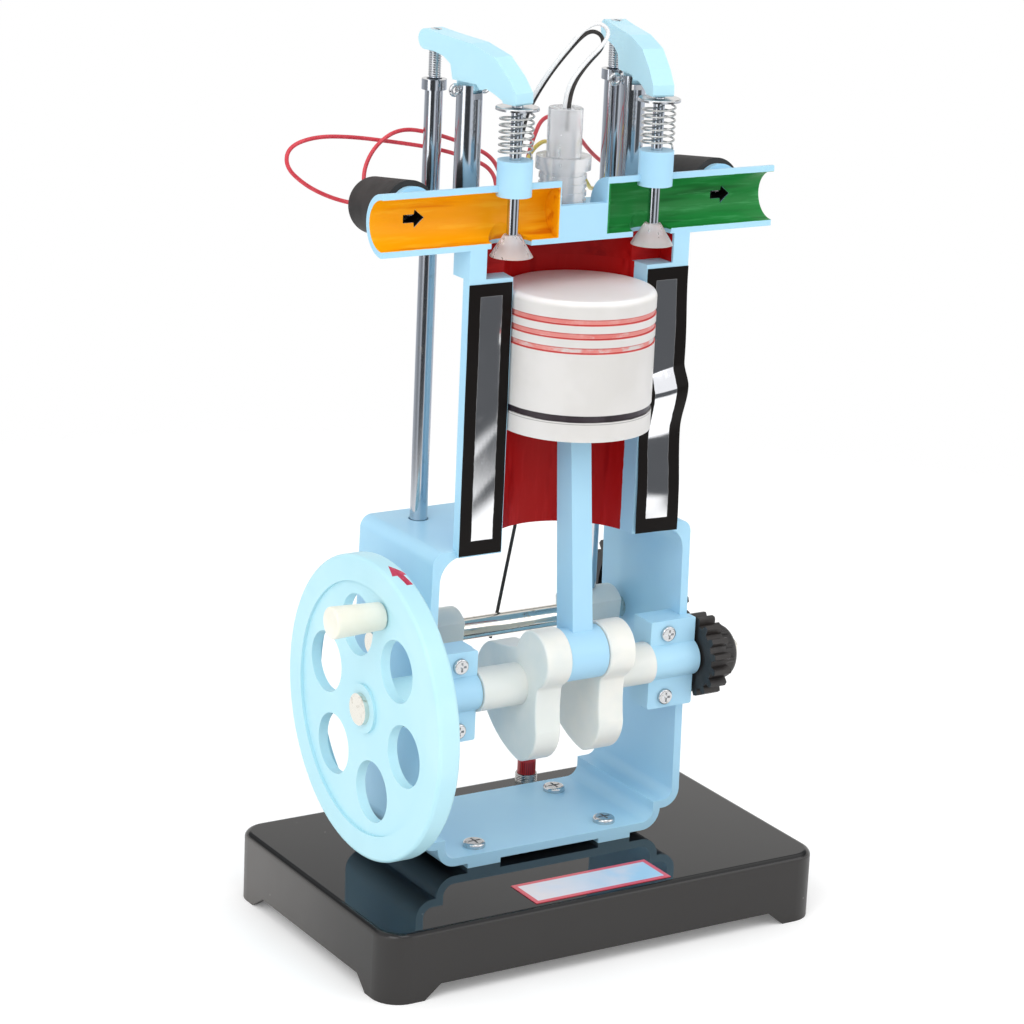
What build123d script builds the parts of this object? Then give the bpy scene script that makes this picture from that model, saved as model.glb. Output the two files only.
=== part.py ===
from build123d import *
import math
import os

# Classroom model of a four-stroke petrol engine, cut open along the plane through the bore and the
# crank axis. X runs along the crank axis with the flywheel at -X, Y to the back, Z up. The origin is on
# the floor under the middle of the base. Lengths are millimetres and angles are degrees.

os.makedirs("parts", exist_ok=True)

# Clearances
swing_gap = 0.3         # between pieces that move past each other
turn_gap = 0.05         # around a shaft that turns and a pin that slides
wire_gap = 0.2          # around a lead in its hole
overrun = 1.5           # how far a cut runs past a face

# Base
base_length = 200.0
base_width = 125.0
base_top = 28.3
base_corner = 11.0
base_edge = 2.5
base_wall = 2.8
base_ceiling = 3.0
foot_height = 5.8
foot_reach = 17.0           # along the front, at the floor
foot_splay = 7.0            # how much longer a foot is at the skirt, along the front
front_foot_depth = 16.0     # along the side, at the floor
front_foot_splay = 6.5
back_foot_depth = 16.1
back_foot_splay = 8.7
plate_thickness = 2.5
plate_gap = 0.1
boss_inset = 10.0
boss_radius = 4.0
plate_screw_radius = 1.5
plate_screw_length = 14.0
plate_screw_head = 3.0
plate_screw_rise = 1.8
battery_length = 58.0
battery_width = 31.0
battery_height = 15.5
battery_edge = 2.8
battery_x = -38.0
battery_y = 8.0

# Label and push switch
label_length = 62.0
label_width = 19.0
label_thickness = 0.3
label_x = -1.0
label_inset = 14.0          # middle of the label from the front edge of the base
switch_x = 30.0
switch_inset = 11.5         # from the back edge of the base
switch_nut_radius = 5.3
switch_nut_height = 2.7
switch_collar_radius = 4.4
switch_collar_height = 6.0
switch_barrel_radius = 4.2
switch_barrel_depth = 13.0
switch_floor = 1.5
switch_cap_radius = 3.85
switch_cap_gap = 0.1
switch_cap_rise = 6.7
switch_cap_edge = 1.2
switch_travel = 2.5

# Planes of the engine
cut_inset = 80.5            # from the back edge of the base to the cut through bore, crank and ports
crank_rise = 75.0           # crank axis above the base

# Frame, a loop of light blue plastic
frame_width = 121.6
frame_rise = 131.7          # top of the frame above the base
frame_lip = 1.8             # the frame starts this far behind the cut
frame_depth = 57.2
frame_wall = 3.3
frame_lean = 1.8            # how far each wall leans in over its height
frame_pad = 2.0
toe_ledge = 1.3             # flat between the lower bends and the walls
toe_radius = 8.2
shelf_radius = 7.5
crown_radius = 5.0
crown_plate = 2.2
crown_inner_radius = 10.0
pad_inner = 23.0
pad_width = 15.0
pad_depth = 14.0
frame_screw_x = 30.5
frame_screw_front = 8.2     # from the front edge
frame_screw_back = 46.2
pan_radius = 4.5
pan_height = 2.2
shank_radius = 1.9
shank_reach = 7.0
recess_width = 0.9          # cross recess of the screws
recess_depth = 1.0
recess_share = 0.6          # length of the recess to the width of the head

# Bearings of the crank
axle_radius = 4.0
cap_inner = 40.0            # inner end of each bearing
cap_proud = 0.2             # ends of the caps past the frame's walls
cap_height = 36.5
cap_drop = 19.3             # bottom of the cap under the axis
cap_plate = 4.3
cap_bulge = 7.5
cap_edge = 0.8
saddle_depth = 8.2
cap_screw_x = 47.8
cap_screw_spread = 26.3
cap_screw_lift = -1.4
cap_screw_head = 3.25
cap_screw_rise = 1.6
cap_screw_shank = 1.3
cap_screw_reach = 6.0

# Cylinder block
bore_radius = 30.0
cylinder_wall = 3.0
head_gap = 1.5              # between the piston and the head at the top of the stroke
flange_reach = 49.0
flange_depth = 4.5
panel_thickness = 0.4
panel_margin = 0.4          # from the bore's edge
panel_inset = 1.7           # below the top of the frame and below the head

# Cylinder head
chamber_height = 11.5
chamber_half = 41.8         # side walls of the chamber
pocket_depth = 9.0
pocket_wall = 3.0
shelf_height = 3.0
shelf_lap = 1.5
slab_rise = 9.0
slab_half = 43.0
slab_depth = 33.0
port_radius = 11.9
port_sink = 0.2             # how deep a port's pipe stands in the chamber's roof
port_bore = 9.5
port_end = 87.0
port_start = 10.3
port_end_wall = 1.2
bridge_depth = 3.0
bridge_rise = 14.0
valve_x = 31.4
seat_radius = 8.7
guide_radius = 6.7
guide_drop = 13.5
guide_top = 44.5            # top of the guides above the joint of the head
arrow_x = 68.5
arrow_length = 9.0
arrow_height = 7.0
arrow_neck_share = 0.45
arrow_head_share = 0.5
lamp_tube_radius = 8.6
lamp_tube_bore = 5.4
lamp_tube_length = 9.0
lamp_tube_seat = 2.9        # how far the tube starts inside the port's wall
sleeve_lift = 2.9           # axis of the sleeve above the port's, at the port's wall
sleeve_radius = 10.8
sleeve_length = 31.0
sleeve_tilt = 7.7
sleeve_end_radius = 4.0
sleeve_bore = 5.6
sleeve_end_wall = 4.0
lamp_radius = 2.5
lamp_length = 8.6
lamp_rim = 2.9
lamp_rim_height = 1.0

# Spark plug
plug_set_back = 16.0        # behind the cut
plug_spigot = 6.0
plug_thread = 9.2
thread_groove = 0.5
thread_pitch = 3.2
thread_start_share = 0.4    # of the pitch, below the first groove
plug_thread_height = 16.0
plug_flange = 10.6
plug_flange_height = 5.0
plug_top_radius = 6.7
plug_top_height = 18.3
plug_bore = 3.2
plug_edge = 0.6

# Leads
lead_radius = 0.8
lead_row_x = -14.0
lead_row_inset = 3.6        # from the back of the head
lead_row_pitch = 2.5
lead_seat = 4.0             # depth of a lead in its hole
lead_rise = 4.0             # straight stretch above the hole
lead_exit = 7.5             # straight stretch behind a sleeve
lead_spread = 1.0           # of the two leads of the plug, from its axis
bend_share = 0.45           # how much of the shorter run a bend takes
leg_radius = 0.35
leg_length = 14.0

# Valves
stem_radius = 2.2
stem_tip_edge = 0.5
valve_head_radius = 8.2
valve_neck_radius = 3.2
valve_head_height = 8.1
valve_head_drop = 3.3       # face of the valve under the chamber's roof
spring_height = 18.7
spring_radius = 6.3
spring_wire = 0.4
spring_turns = 6
spring_rise = 1.2           # radius of the bend that turns each end of the wire upright
retainer_radius = 8.2
retainer_thickness = 1.2
retainer_edge = 0.5
stem_proud = 0.6

# Rocker gear
rod_x = 40.4
rod_set_back = 0.4          # push rods behind the camshaft axis
rod_radius = 3.5
rod_hole_gap = 0.5
cup_radius = 4.8
cup_height = 4.0
cup_recess = 3.0
cup_recess_depth = 1.6
screw_radius = 2.2
screw_height = 20.2
screw_tip_drop = 0.5        # tip of the adjusting screw under the pivot
screw_slot = 0.8
pivot_s = 20.1              # pivot from the push rod, along the rocker
pivot_rise = 2.0            # pivot above the top of the valve stem
pivot_radius = 0.8
pivot_eye = 2.6
rocker_height = 21.5
rocker_thickness = 8.6
tongue_thickness = 4.4
tongue_gap = 0.1
hub_drop = 2.3
post_radius = 5.0
post_seat = 1.0             # depth of a post in the head
ear_top = 1.7
slot_drop = 3.5

# Gear pair between crank and camshaft
gear_module = 1.92
crank_teeth = 16
gear_ratio = 2
addendum = 1.2
dedendum = 1.6
pressure_angle = 20.0
backlash = 0.28
gear_gap = 1.2              # between the frame and the gears
gear_width = 7.5
gear_hub_radius = 11.0
gear_hub_length = 8.5
hub_rib_count = 12
hub_rib_radius = 1.1
cam_gear_hub = 9.0
cam_gear_web = 3.0
cam_gear_rim = 4.0
cam_rise = 7.9              # camshaft axis above the crank axis

# Crank
throw = 16.5
crank_lean = 38.6           # crank pin forward of the top
web_gap = 8.8
web_thickness = 11.5
web_lobe_radius = 11.5
web_lobe_angle = 118.0
web_tail = 28.3
web_half_width = 25.6
web_edge = 0.8
web_corner = 3.0
hub_radius = 8.4
pin_radius = 5.0
pin_half_length = 8.5
axle_inner = 12.0
tip_proud = 4.0             # end of the axle past the crank gear
tip_length = 6.0
tip_flat = 3.1
disc_radius = 6.2
disc_thickness = 1.8

# Flywheel and handle
wheel_radius = 59.0
wheel_gap = 3.0             # between a bearing cap and the hub of the wheel
wheel_width = 9.1
wheel_edge = 1.5
rim_width = 10.0
web_plate = 4.0
web_recess = 1.3
wheel_hub_radius = 9.5
wheel_hub_reach = 16.1
wheel_hole_radius = 12.0
wheel_hole_circle = 32.0
wheel_hole_count = 6
wheel_hole_start = 16.5
handle_circle = 41.7
handle_angle = 105.3
handle_pin_radius = 2.4
handle_cap_radius = 3.6
handle_cap_length = 1.4
grip_small = 5.3
grip_large = 6.2
grip_length = 21.6
grip_edge = 1.0
grip_end_wall = 2.2

# Camshaft
camshaft_radius = 4.5
camshaft_inset = 0.3        # left end of the camshaft, inside the frame's wall
cam_start = 22.0
right_cam_gap = 8.8         # from the right cam to the outside of the frame
cam_length = 22.0
cam_nose = 10.0
cam_base = 7.6
cam_edge = 0.6
nose_half_angle = 55.0
base_half_angle = 75.0

# Contact spring behind the camshaft
contact_wire = 0.7
contact_set_back = 6.1
contact_top_x = 8.0
contact_tip_x = -1.4
contact_elbow = 2.8
contact_bend = 4.8
contact_top_share = 0.15
contact_knee_share = 0.8

# Piston and connecting rod
piston_radius = 29.3
piston_height = 53.7
piston_edge = 2.5
piston_wall = 4.0
piston_crown = 6.0
wrist_drop = 34.2           # wrist pin under the crown
wrist_radius = 4.0
wrist_inset = 3.0
wrist_boss = 8.0
wrist_boss_gap = 5.5
rod_length = 110.0
small_end_radius = 8.0
big_end_radius = 10.5
rod_half_thickness = 4.5
column_top = 9.6
column_bottom = 12.0
column_set_back = 1.4
crown_grooves = (6.6, 11.9, 17.4)   # under the crown
groove_height = 2.2
groove_depth = 0.5
ring_drop = 43.5
ring_height = 2.5
ring_depth = 0.5

# Heights and places worked out from the sizes above
skirt_z = foot_height
base_back = base_width / 2
label_y = label_inset - base_back
switch_y = base_back - switch_inset
cut_y = base_back - cut_inset
crank_z = base_top + crank_rise
frame_floor = base_top + frame_pad
frame_top = base_top + frame_rise
crown_z = frame_top - crown_plate
frame_half = frame_width / 2
frame_toe = frame_width - 2 * (shelf_radius + toe_ledge)
cap_length = frame_half + cap_proud - cap_inner
frame_y = cut_y + frame_lip
frame_back = frame_y + frame_depth
head_z = crank_z + throw + rod_length + wrist_drop + head_gap
roof_z = head_z + chamber_height
port_z = roof_z + port_radius - port_sink
slab_z = roof_z + slab_rise
slab_back = cut_y + slab_depth
plug_y = cut_y + plug_set_back
lead_row_y = slab_back - lead_row_inset
guide_z = head_z + guide_top
retainer_z = guide_z + spring_height
stem_z = retainer_z + retainer_thickness + stem_proud
pad_z = stem_z + swing_gap
pivot_z = stem_z + pivot_rise
teeth_sum = crank_teeth * (1 + gear_ratio)
gear_centres = gear_module * teeth_sum / 2
cam_y = cut_y + math.sqrt(gear_centres ** 2 - cam_rise ** 2)
cam_z = crank_z + cam_rise
rod_y = cam_y + rod_set_back
foot_z = cam_z + cam_nose + swing_gap
right_cam_start = frame_half - right_cam_gap - cam_length
camshaft_end = frame_half - camshaft_inset
gear_start = frame_half + gear_gap
tip_x = gear_start + gear_width + gear_hub_length + tip_proud
wheel_start = cap_inner + cap_length + wheel_gap + wheel_hub_reach
screw_tip = pivot_z - screw_tip_drop
rod_top = screw_tip - swing_gap + cup_recess_depth - cup_height
pin_y = cut_y - throw * math.sin(math.radians(crank_lean))
pin_z = crank_z + throw * math.cos(math.radians(crank_lean))
wrist_z = pin_z + math.sqrt(rod_length ** 2 - (pin_y - cut_y) ** 2)
piston_top = wrist_z + wrist_drop
piston_bottom = piston_top - piston_height
rod_lean = math.degrees(math.asin((cut_y - pin_y) / rod_length))
rocker_run_x = rod_x - valve_x
rocker_run_y = rod_y - cut_y
rocker_reach = math.hypot(rocker_run_x, rocker_run_y)
wheel_end = wheel_start + wheel_width
grip_start = wheel_end - web_recess + swing_gap
handle_y = cut_y + handle_circle * math.cos(math.radians(handle_angle))
handle_z = crank_z + handle_circle * math.sin(math.radians(handle_angle))

sides = ((-1, "left"), (1, "right"))


def hand_over(piece, label):
    """Name a finished piece and write it to its file."""
    piece.part.label = label
    export_step(piece.part, f"parts/{label}.step")


def bar(start, end, radius, y, z, mode=Mode.ADD):
    """Round bar along X."""
    with BuildSketch(Plane.YZ.offset(start)) as profile:
        with Locations((y, z)):
            Circle(radius)
    extrude(profile.sketch, amount=end - start, mode=mode)


def post(bottom, top, radius, x, y, mode=Mode.ADD):
    """Upright round post."""
    with BuildSketch(Plane.XY.offset(bottom)) as profile:
        with Locations((x, y)):
            Circle(radius)
    extrude(profile.sketch, amount=top - bottom, mode=mode)


def block(low, high, mode=Mode.ADD):
    """Box between two corners."""
    size = [b - a for a, b in zip(low, high)]
    with Locations([(low[0], low[1], low[2])]):
        Box(*size, align=Align.MIN, mode=mode)


def cross_recess(plane, head_radius):
    """Cross recess in a screw head, cut from the plane of its top."""
    with BuildSketch(plane) as cross:
        Rectangle(2 * head_radius * recess_share, recess_width)
        Rectangle(recess_width, 2 * head_radius * recess_share)
    extrude(cross.sketch, amount=-recess_depth, mode=Mode.SUBTRACT)


def base_shell():
    half_length = base_length / 2
    half_width = base_width / 2
    with BuildPart() as shell:
        with BuildSketch():
            RectangleRounded(base_length, base_width, base_corner)
        extrude(amount=base_top)
        fillet(shell.edges().group_by(Axis.Z)[-1], base_edge)
        with BuildSketch() as hollow:
            RectangleRounded(base_length - 2 * base_wall, base_width - 2 * base_wall,
                             base_corner - base_wall)
        extrude(hollow.sketch, amount=base_top - base_ceiling, mode=Mode.SUBTRACT)
        low = half_length - foot_reach
        high = low - foot_splay
        with BuildSketch(Plane.XZ) as front_gap:
            Polygon((-low, 0), (-high, skirt_z), (high, skirt_z), (low, 0), align=None)
        extrude(front_gap.sketch, amount=base_width, both=True, mode=Mode.SUBTRACT)
        front = front_foot_depth - half_width
        back = half_width - back_foot_depth
        with BuildSketch(Plane.YZ) as side_gap:
            Polygon((front, 0), (front + front_foot_splay, skirt_z), (back - back_foot_splay, skirt_z),
                    (back, 0), align=None)
        extrude(side_gap.sketch, amount=base_length, both=True, mode=Mode.SUBTRACT)
        for x, y in boss_places():
            post(skirt_z + plate_thickness, base_top - base_ceiling, boss_radius, x, y)
            post(skirt_z, skirt_z + plate_screw_length, plate_screw_radius, x, y, Mode.SUBTRACT)
        for x, y in frame_screw_places():
            post(base_top - base_ceiling, base_top, shank_radius, x, y, Mode.SUBTRACT)
        post(base_top - base_ceiling, base_top, switch_barrel_radius, switch_x, switch_y, Mode.SUBTRACT)
    return shell


def boss_places():
    """Screw bosses in the corners of the base."""
    x = base_length / 2 - boss_inset
    y = base_width / 2 - boss_inset
    return [(side * x, end * y) for side in (-1, 1) for end in (-1, 1)]


def frame_screw_places():
    """Screws that hold the frame to the base."""
    return [(side * frame_screw_x, frame_y + back)
            for side in (-1, 1) for back in (frame_screw_front, frame_screw_back)]


def base_plate():
    inset = 2 * (base_wall + plate_gap)
    with BuildPart() as plate:
        with BuildSketch(Plane.XY.offset(skirt_z)):
            RectangleRounded(base_length - inset, base_width - inset, base_corner - base_wall)
        extrude(amount=plate_thickness)
        for x, y in boss_places():
            post(skirt_z, skirt_z + plate_thickness, plate_screw_radius, x, y, Mode.SUBTRACT)
    return plate


def base_screws():
    with BuildPart() as screws:
        for x, y in boss_places():
            post(skirt_z - plate_screw_rise, skirt_z, plate_screw_head, x, y)
            post(skirt_z, skirt_z + plate_screw_length, plate_screw_radius, x, y)
    return screws


def battery_pack():
    floor = skirt_z + plate_thickness
    half_length = battery_length / 2
    with BuildPart() as pack:
        block((battery_x - half_length, battery_y - battery_width / 2, floor),
              (battery_x + half_length, battery_y + battery_width / 2, floor + battery_height))
        fillet(pack.edges().filter_by(Axis.X), battery_edge)
    return pack


def label_plate():
    with BuildPart() as label:
        with BuildSketch(Plane.XY.offset(base_top)) as face:
            with Locations((label_x, label_y)):
                Rectangle(label_length, label_width)
        extrude(face.sketch, amount=label_thickness)
    return label


def switch_collar():
    bottom = base_top - switch_barrel_depth
    with BuildPart() as collar:
        post(bottom, base_top, switch_barrel_radius, switch_x, switch_y)
        with BuildSketch(Plane.XY.offset(base_top)) as nut:
            with Locations((switch_x, switch_y)):
                RegularPolygon(switch_nut_radius, 6)
        extrude(nut.sketch, amount=switch_nut_height)
        post(base_top, base_top + switch_collar_height, switch_collar_radius, switch_x, switch_y)
        post(bottom + switch_floor, base_top + switch_collar_height,
             switch_cap_radius + switch_cap_gap, switch_x, switch_y, Mode.SUBTRACT)
    return collar


def switch_button():
    bottom = base_top - switch_barrel_depth + switch_floor + switch_travel + swing_gap
    with BuildPart() as button:
        post(bottom, base_top + switch_collar_height + switch_cap_rise, switch_cap_radius, switch_x, switch_y)
        fillet(button.edges().group_by(Axis.Z)[-1], switch_cap_edge)
    return button


def frame_outline(inset, crown, crown_bend):
    """Outline of the frame, moved in by the wall; crown is the height of its top edge."""
    half = frame_width / 2 - inset
    toe = frame_toe / 2 - inset
    floor = frame_floor + inset
    shelf = frame_floor + toe_radius + inset
    bend = toe_radius - inset
    shoulder = shelf_radius - inset
    toe_x = frame_toe / 2 - toe_radius
    shoulder_x = frame_width / 2 - shelf_radius
    shoulder_z = frame_floor + toe_radius + shelf_radius
    top = half - frame_lean
    right = [
        ("line", (0, floor), (toe_x, floor)),
        ("arc", (toe_x, floor), (toe, floor + bend), (toe_x, floor + bend)),
        ("line", (toe, floor + bend), (toe, shelf)),
        ("line", (toe, shelf), (shoulder_x, shelf)),
        ("arc", (shoulder_x, shelf), (half, shoulder_z), (shoulder_x, shoulder_z)),
        ("line", (half, shoulder_z), (top, crown - crown_bend)),
        ("arc", (top, crown - crown_bend), (top - crown_bend, crown), (top - crown_bend, crown - crown_bend)),
        ("line", (top - crown_bend, crown), (0, crown)),
    ]
    for kind, start, end, *centre in right:
        for side in (-1, 1):
            first = (side * start[0], start[1])
            last = (side * end[0], end[1])
            if first == last:
                continue
            if kind == "line":
                Line(first, last)
            else:
                middle = (side * centre[0][0], centre[0][1])
                radius = math.dist(start, centre[0])
                away = Vector((first[0] + last[0]) / 2 - middle[0], (first[1] + last[1]) / 2 - middle[1])
                away = away.normalized() * radius
                ThreePointArc(first, (middle[0] + away.X, middle[1] + away.Y), last)


def frame_bracket():
    with BuildPart() as frame:
        with BuildSketch(Plane.XZ.offset(-frame_back)) as loop:
            with BuildLine():
                frame_outline(0, frame_top, crown_radius)
            make_face()
            with BuildLine():
                frame_outline(frame_wall, crown_z, crown_inner_radius)
            make_face(mode=Mode.SUBTRACT)
        extrude(loop.sketch, amount=frame_depth)
        # Pads under the floor of the frame
        for side in (-1, 1):
            for front in (frame_y, frame_back - pad_depth):
                inner = side * pad_inner
                outer = side * (pad_inner + pad_width)
                block((min(inner, outer), front, base_top),
                      (max(inner, outer), front + pad_depth, frame_floor))
            # Saddle of the crank bearing
            wall = side * (frame_width / 2 - frame_wall / 2)
            block((min(side * cap_inner, wall), frame_y, crank_z - cap_drop),
                  (max(side * cap_inner, wall), frame_y + saddle_depth, crank_z - cap_drop + cap_height))
            post(crown_z - overrun, frame_top + overrun, rod_radius + rod_hole_gap,
                 side * rod_x, rod_y, Mode.SUBTRACT)
        post(crown_z - overrun, frame_top + overrun, bore_radius + cylinder_wall, 0, cut_y, Mode.SUBTRACT)
        bar(-frame_width, frame_width, axle_radius + turn_gap, cut_y, crank_z, Mode.SUBTRACT)
        bar(-frame_width, frame_width, camshaft_radius + turn_gap, cam_y, cam_z, Mode.SUBTRACT)
        for x, y in frame_screw_places():
            post(base_top - overrun, frame_floor + frame_wall + overrun, shank_radius, x, y, Mode.SUBTRACT)
        for x, z in cap_screw_places():
            with BuildSketch(Plane.XZ.offset(-frame_y)) as hole:
                with Locations((x, z)):
                    Circle(cap_screw_shank)
            extrude(hole.sketch, amount=-cap_screw_reach, mode=Mode.SUBTRACT)
    return frame


def frame_screws():
    floor = frame_floor + frame_wall
    with BuildPart() as screws:
        for x, y in frame_screw_places():
            post(floor, floor + pan_height, pan_radius, x, y)
        fillet(screws.edges().group_by(Axis.Z)[-1], pan_height / 2)
        for x, y in frame_screw_places():
            post(floor - shank_reach, floor, shank_radius, x, y)
            cross_recess(Plane(origin=(x, y, floor + pan_height)), pan_radius)
    return screws


def cap_screw_places():
    """Screws of the bearing caps, as X and Z."""
    middle = crank_z + cap_screw_lift
    return [(side * cap_screw_x, middle + end * cap_screw_spread / 2) for side in (-1, 1) for end in (-1, 1)]


def cap_screws():
    front = frame_y - cap_plate
    with BuildPart() as screws:
        for x, z in cap_screw_places():
            with BuildSketch(Plane.XZ.offset(-front)) as head:
                with Locations((x, z)):
                    Circle(cap_screw_head)
            extrude(head.sketch, amount=cap_screw_rise)
        fillet(screws.edges().group_by(Axis.Y)[0], cap_screw_rise / 2)
        for x, z in cap_screw_places():
            with BuildSketch(Plane.XZ.offset(-front)) as shank:
                with Locations((x, z)):
                    Circle(cap_screw_shank)
            extrude(shank.sketch, amount=-(cap_plate + cap_screw_reach))
            top = Plane(origin=(x, front - cap_screw_rise, z), x_dir=(1, 0, 0), z_dir=(0, -1, 0))
            cross_recess(top, cap_screw_head)
    return screws


def bearing_cap(side):
    inner = side * cap_inner
    outer = side * (cap_inner + cap_length)
    low, high = min(inner, outer), max(inner, outer)
    bottom = crank_z - cap_drop
    with BuildPart() as cap:
        block((low, frame_y - cap_plate, bottom), (high, frame_y, bottom + cap_height))
        fillet(cap.edges().filter_by(Axis.Y), cap_edge)
        bar(low, high, cap_bulge, cut_y, crank_z)
        block((low - overrun, frame_y, bottom), (high + overrun, frame_y + cap_bulge + overrun,
              bottom + cap_height), Mode.SUBTRACT)
        bar(low - overrun, high + overrun, axle_radius + turn_gap, cut_y, crank_z, Mode.SUBTRACT)
        for x, z in cap_screw_places():
            with BuildSketch(Plane.XZ.offset(-frame_y)) as hole:
                with Locations((x, z)):
                    Circle(cap_screw_shank)
            extrude(hole.sketch, amount=cap_plate, mode=Mode.SUBTRACT)
    return cap


def half_disc(radius, bottom, top):
    """Upright half cylinder behind the plane of the cut."""
    with BuildSketch(Plane.XY.offset(bottom)) as half:
        with Locations((0, cut_y)):
            Circle(radius)
        with Locations((0, cut_y - radius)):
            Rectangle(2 * radius, 2 * radius, mode=Mode.SUBTRACT)
    extrude(half.sketch, amount=top - bottom)


def cylinder_block():
    with BuildPart() as cylinder:
        half_disc(bore_radius + cylinder_wall, crown_z, head_z)
        block((-flange_reach, cut_y, frame_top), (flange_reach, cut_y + flange_depth, head_z))
        block((-flange_reach, cut_y, crown_z), (flange_reach, frame_y, frame_top))
        # Shelf that closes the chamber at the bottom
        shelf_half = chamber_half + shelf_lap
        block((-shelf_half, cut_y, head_z - shelf_height), (shelf_half, cut_y + pocket_depth + shelf_lap, head_z))
        post(crown_z - overrun, head_z + overrun, bore_radius, 0, cut_y, Mode.SUBTRACT)
    return cylinder


def jacket_panels():
    inner = bore_radius + panel_margin
    with BuildPart() as panels:
        for side in (-1, 1):
            low = min(side * inner, side * flange_reach)
            high = max(side * inner, side * flange_reach)
            block((low, cut_y - panel_thickness, frame_top - panel_inset), (high, cut_y, head_z - panel_inset))
    return panels


def port(side):
    """Half pipe of a port, still solid."""
    with BuildSketch(Plane.YZ.offset(side * port_start)) as profile:
        with Locations((cut_y, port_z)):
            Circle(port_radius)
        with Locations((cut_y - port_radius, port_z)):
            Rectangle(2 * port_radius, 2 * port_radius, mode=Mode.SUBTRACT)
    extrude(profile.sketch, amount=side * (port_end - port_start))


def sleeve_plane(side, along):
    """Plane square to the tilted lamp sleeve, this far behind the port's wall."""
    tilt = math.radians(sleeve_tilt)
    back = Vector(0, math.cos(tilt), -math.sin(tilt))
    start = Vector(side * arrow_x, cut_y + port_radius, port_z + sleeve_lift)
    return Plane(origin=start + back * along, x_dir=(1, 0, 0), z_dir=back)


def tilted_rod(side, start, end, radius, mode=Mode.ADD):
    """Round piece on the axis of the lamp sleeve."""
    with BuildSketch(sleeve_plane(side, start)) as profile:
        Circle(radius)
    extrude(profile.sketch, amount=end - start, mode=mode)


def arrow_cut(side):
    """Arrow cut through the back of a port, pointing to +X in both."""
    neck = arrow_height * arrow_neck_share / 2
    waist = arrow_length * (arrow_head_share - 0.5)
    half = arrow_length / 2
    with BuildSketch(Plane.XZ.offset(-cut_y)) as arrow:
        with Locations((side * arrow_x, port_z)):
            Polygon((-half, -neck), (waist, -neck), (waist, -arrow_height / 2), (half, 0),
                    (waist, arrow_height / 2), (waist, neck), (-half, neck), align=None)
    extrude(arrow.sketch, amount=-(port_radius + lamp_tube_length), mode=Mode.SUBTRACT)


def cylinder_head():
    with BuildPart() as head:
        half_disc(bore_radius + cylinder_wall, head_z, roof_z)
        block((-flange_reach, cut_y, head_z), (flange_reach, cut_y + pocket_depth + pocket_wall, roof_z))
        block((-slab_half, cut_y, roof_z), (slab_half, slab_back, slab_z))
        for side in (-1, 1):
            tilted_rod(side, -lamp_tube_seat, lamp_tube_length, lamp_tube_radius)
            tilted_rod(side, -lamp_tube_seat, lamp_tube_length + overrun, lamp_tube_bore, Mode.SUBTRACT)
            port(side)
            bar(side * (port_start + port_end_wall), side * (port_end + overrun), port_bore, cut_y, port_z,
                Mode.SUBTRACT)
            arrow_cut(side)
        block((-port_start, cut_y, roof_z), (port_start, cut_y + bridge_depth, roof_z + bridge_rise))
        post(head_z - overrun, roof_z, bore_radius, 0, cut_y, Mode.SUBTRACT)
        block((-chamber_half, cut_y - overrun, head_z - overrun),
              (chamber_half, cut_y + pocket_depth, roof_z), Mode.SUBTRACT)
        for side in (-1, 1):
            post(roof_z - overrun, port_z, seat_radius, side * valve_x, cut_y, Mode.SUBTRACT)
            post(guide_z - guide_drop, guide_z, guide_radius, side * valve_x, cut_y)
            post(guide_z - guide_drop, guide_z, stem_radius + turn_gap, side * valve_x, cut_y, Mode.SUBTRACT)
            post_x, post_y = rocker_point(side, pivot_s)
            post(slab_z - post_seat, slab_z, post_radius, post_x, post_y, Mode.SUBTRACT)
        post(roof_z - overrun, slab_z, plug_spigot, 0, plug_y, Mode.SUBTRACT)
        for x, y in lead_holes():
            post(slab_z - lead_seat, slab_z, lead_radius + wire_gap, x, y, Mode.SUBTRACT)
    return head


def lead_holes():
    """Row of holes behind the spark plug where the leads enter the head."""
    first = lead_row_x - lead_row_pitch * (len(lead_routes) - 1) / 2
    return [(first + number * lead_row_pitch, lead_row_y) for number in range(len(lead_routes))]


def lamp_sleeve(side):
    with BuildPart() as sleeve:
        tilted_rod(side, swing_gap, sleeve_length, sleeve_radius)
        fillet(sleeve.edges().group_by(Axis.Y)[-1], sleeve_end_radius)
        with BuildSketch(Plane.YZ.offset(side * arrow_x)) as port_room:
            with Locations((cut_y, port_z)):
                Circle(port_radius + turn_gap)
        extrude(port_room.sketch, amount=2 * sleeve_radius, both=True, mode=Mode.SUBTRACT)
        tilted_rod(side, -lamp_tube_seat, lamp_tube_length, lamp_tube_radius, Mode.SUBTRACT)
        tilted_rod(side, lamp_tube_length - overrun, sleeve_length - sleeve_end_wall, sleeve_bore,
                   Mode.SUBTRACT)
    return sleeve


def lamps():
    """Lamps in the two sleeves and in the spark plug."""
    with BuildPart() as set_of_lamps:
        for side in (-1, 1):
            seat = lamp_tube_length
            tilted_rod(side, seat - lamp_length, seat, lamp_radius)
            tilted_rod(side, seat, seat + lamp_rim_height, sleeve_bore)
        bottom = slab_z + plug_thread_height
        post(bottom - lamp_length, bottom, lamp_radius, 0, plug_y)
        post(bottom, bottom + lamp_rim_height, lamp_rim, 0, plug_y)
        for hand in (-1, 1):
            post(bottom, bottom + leg_length, leg_radius, hand * lead_spread, plug_y)
    return set_of_lamps


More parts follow.
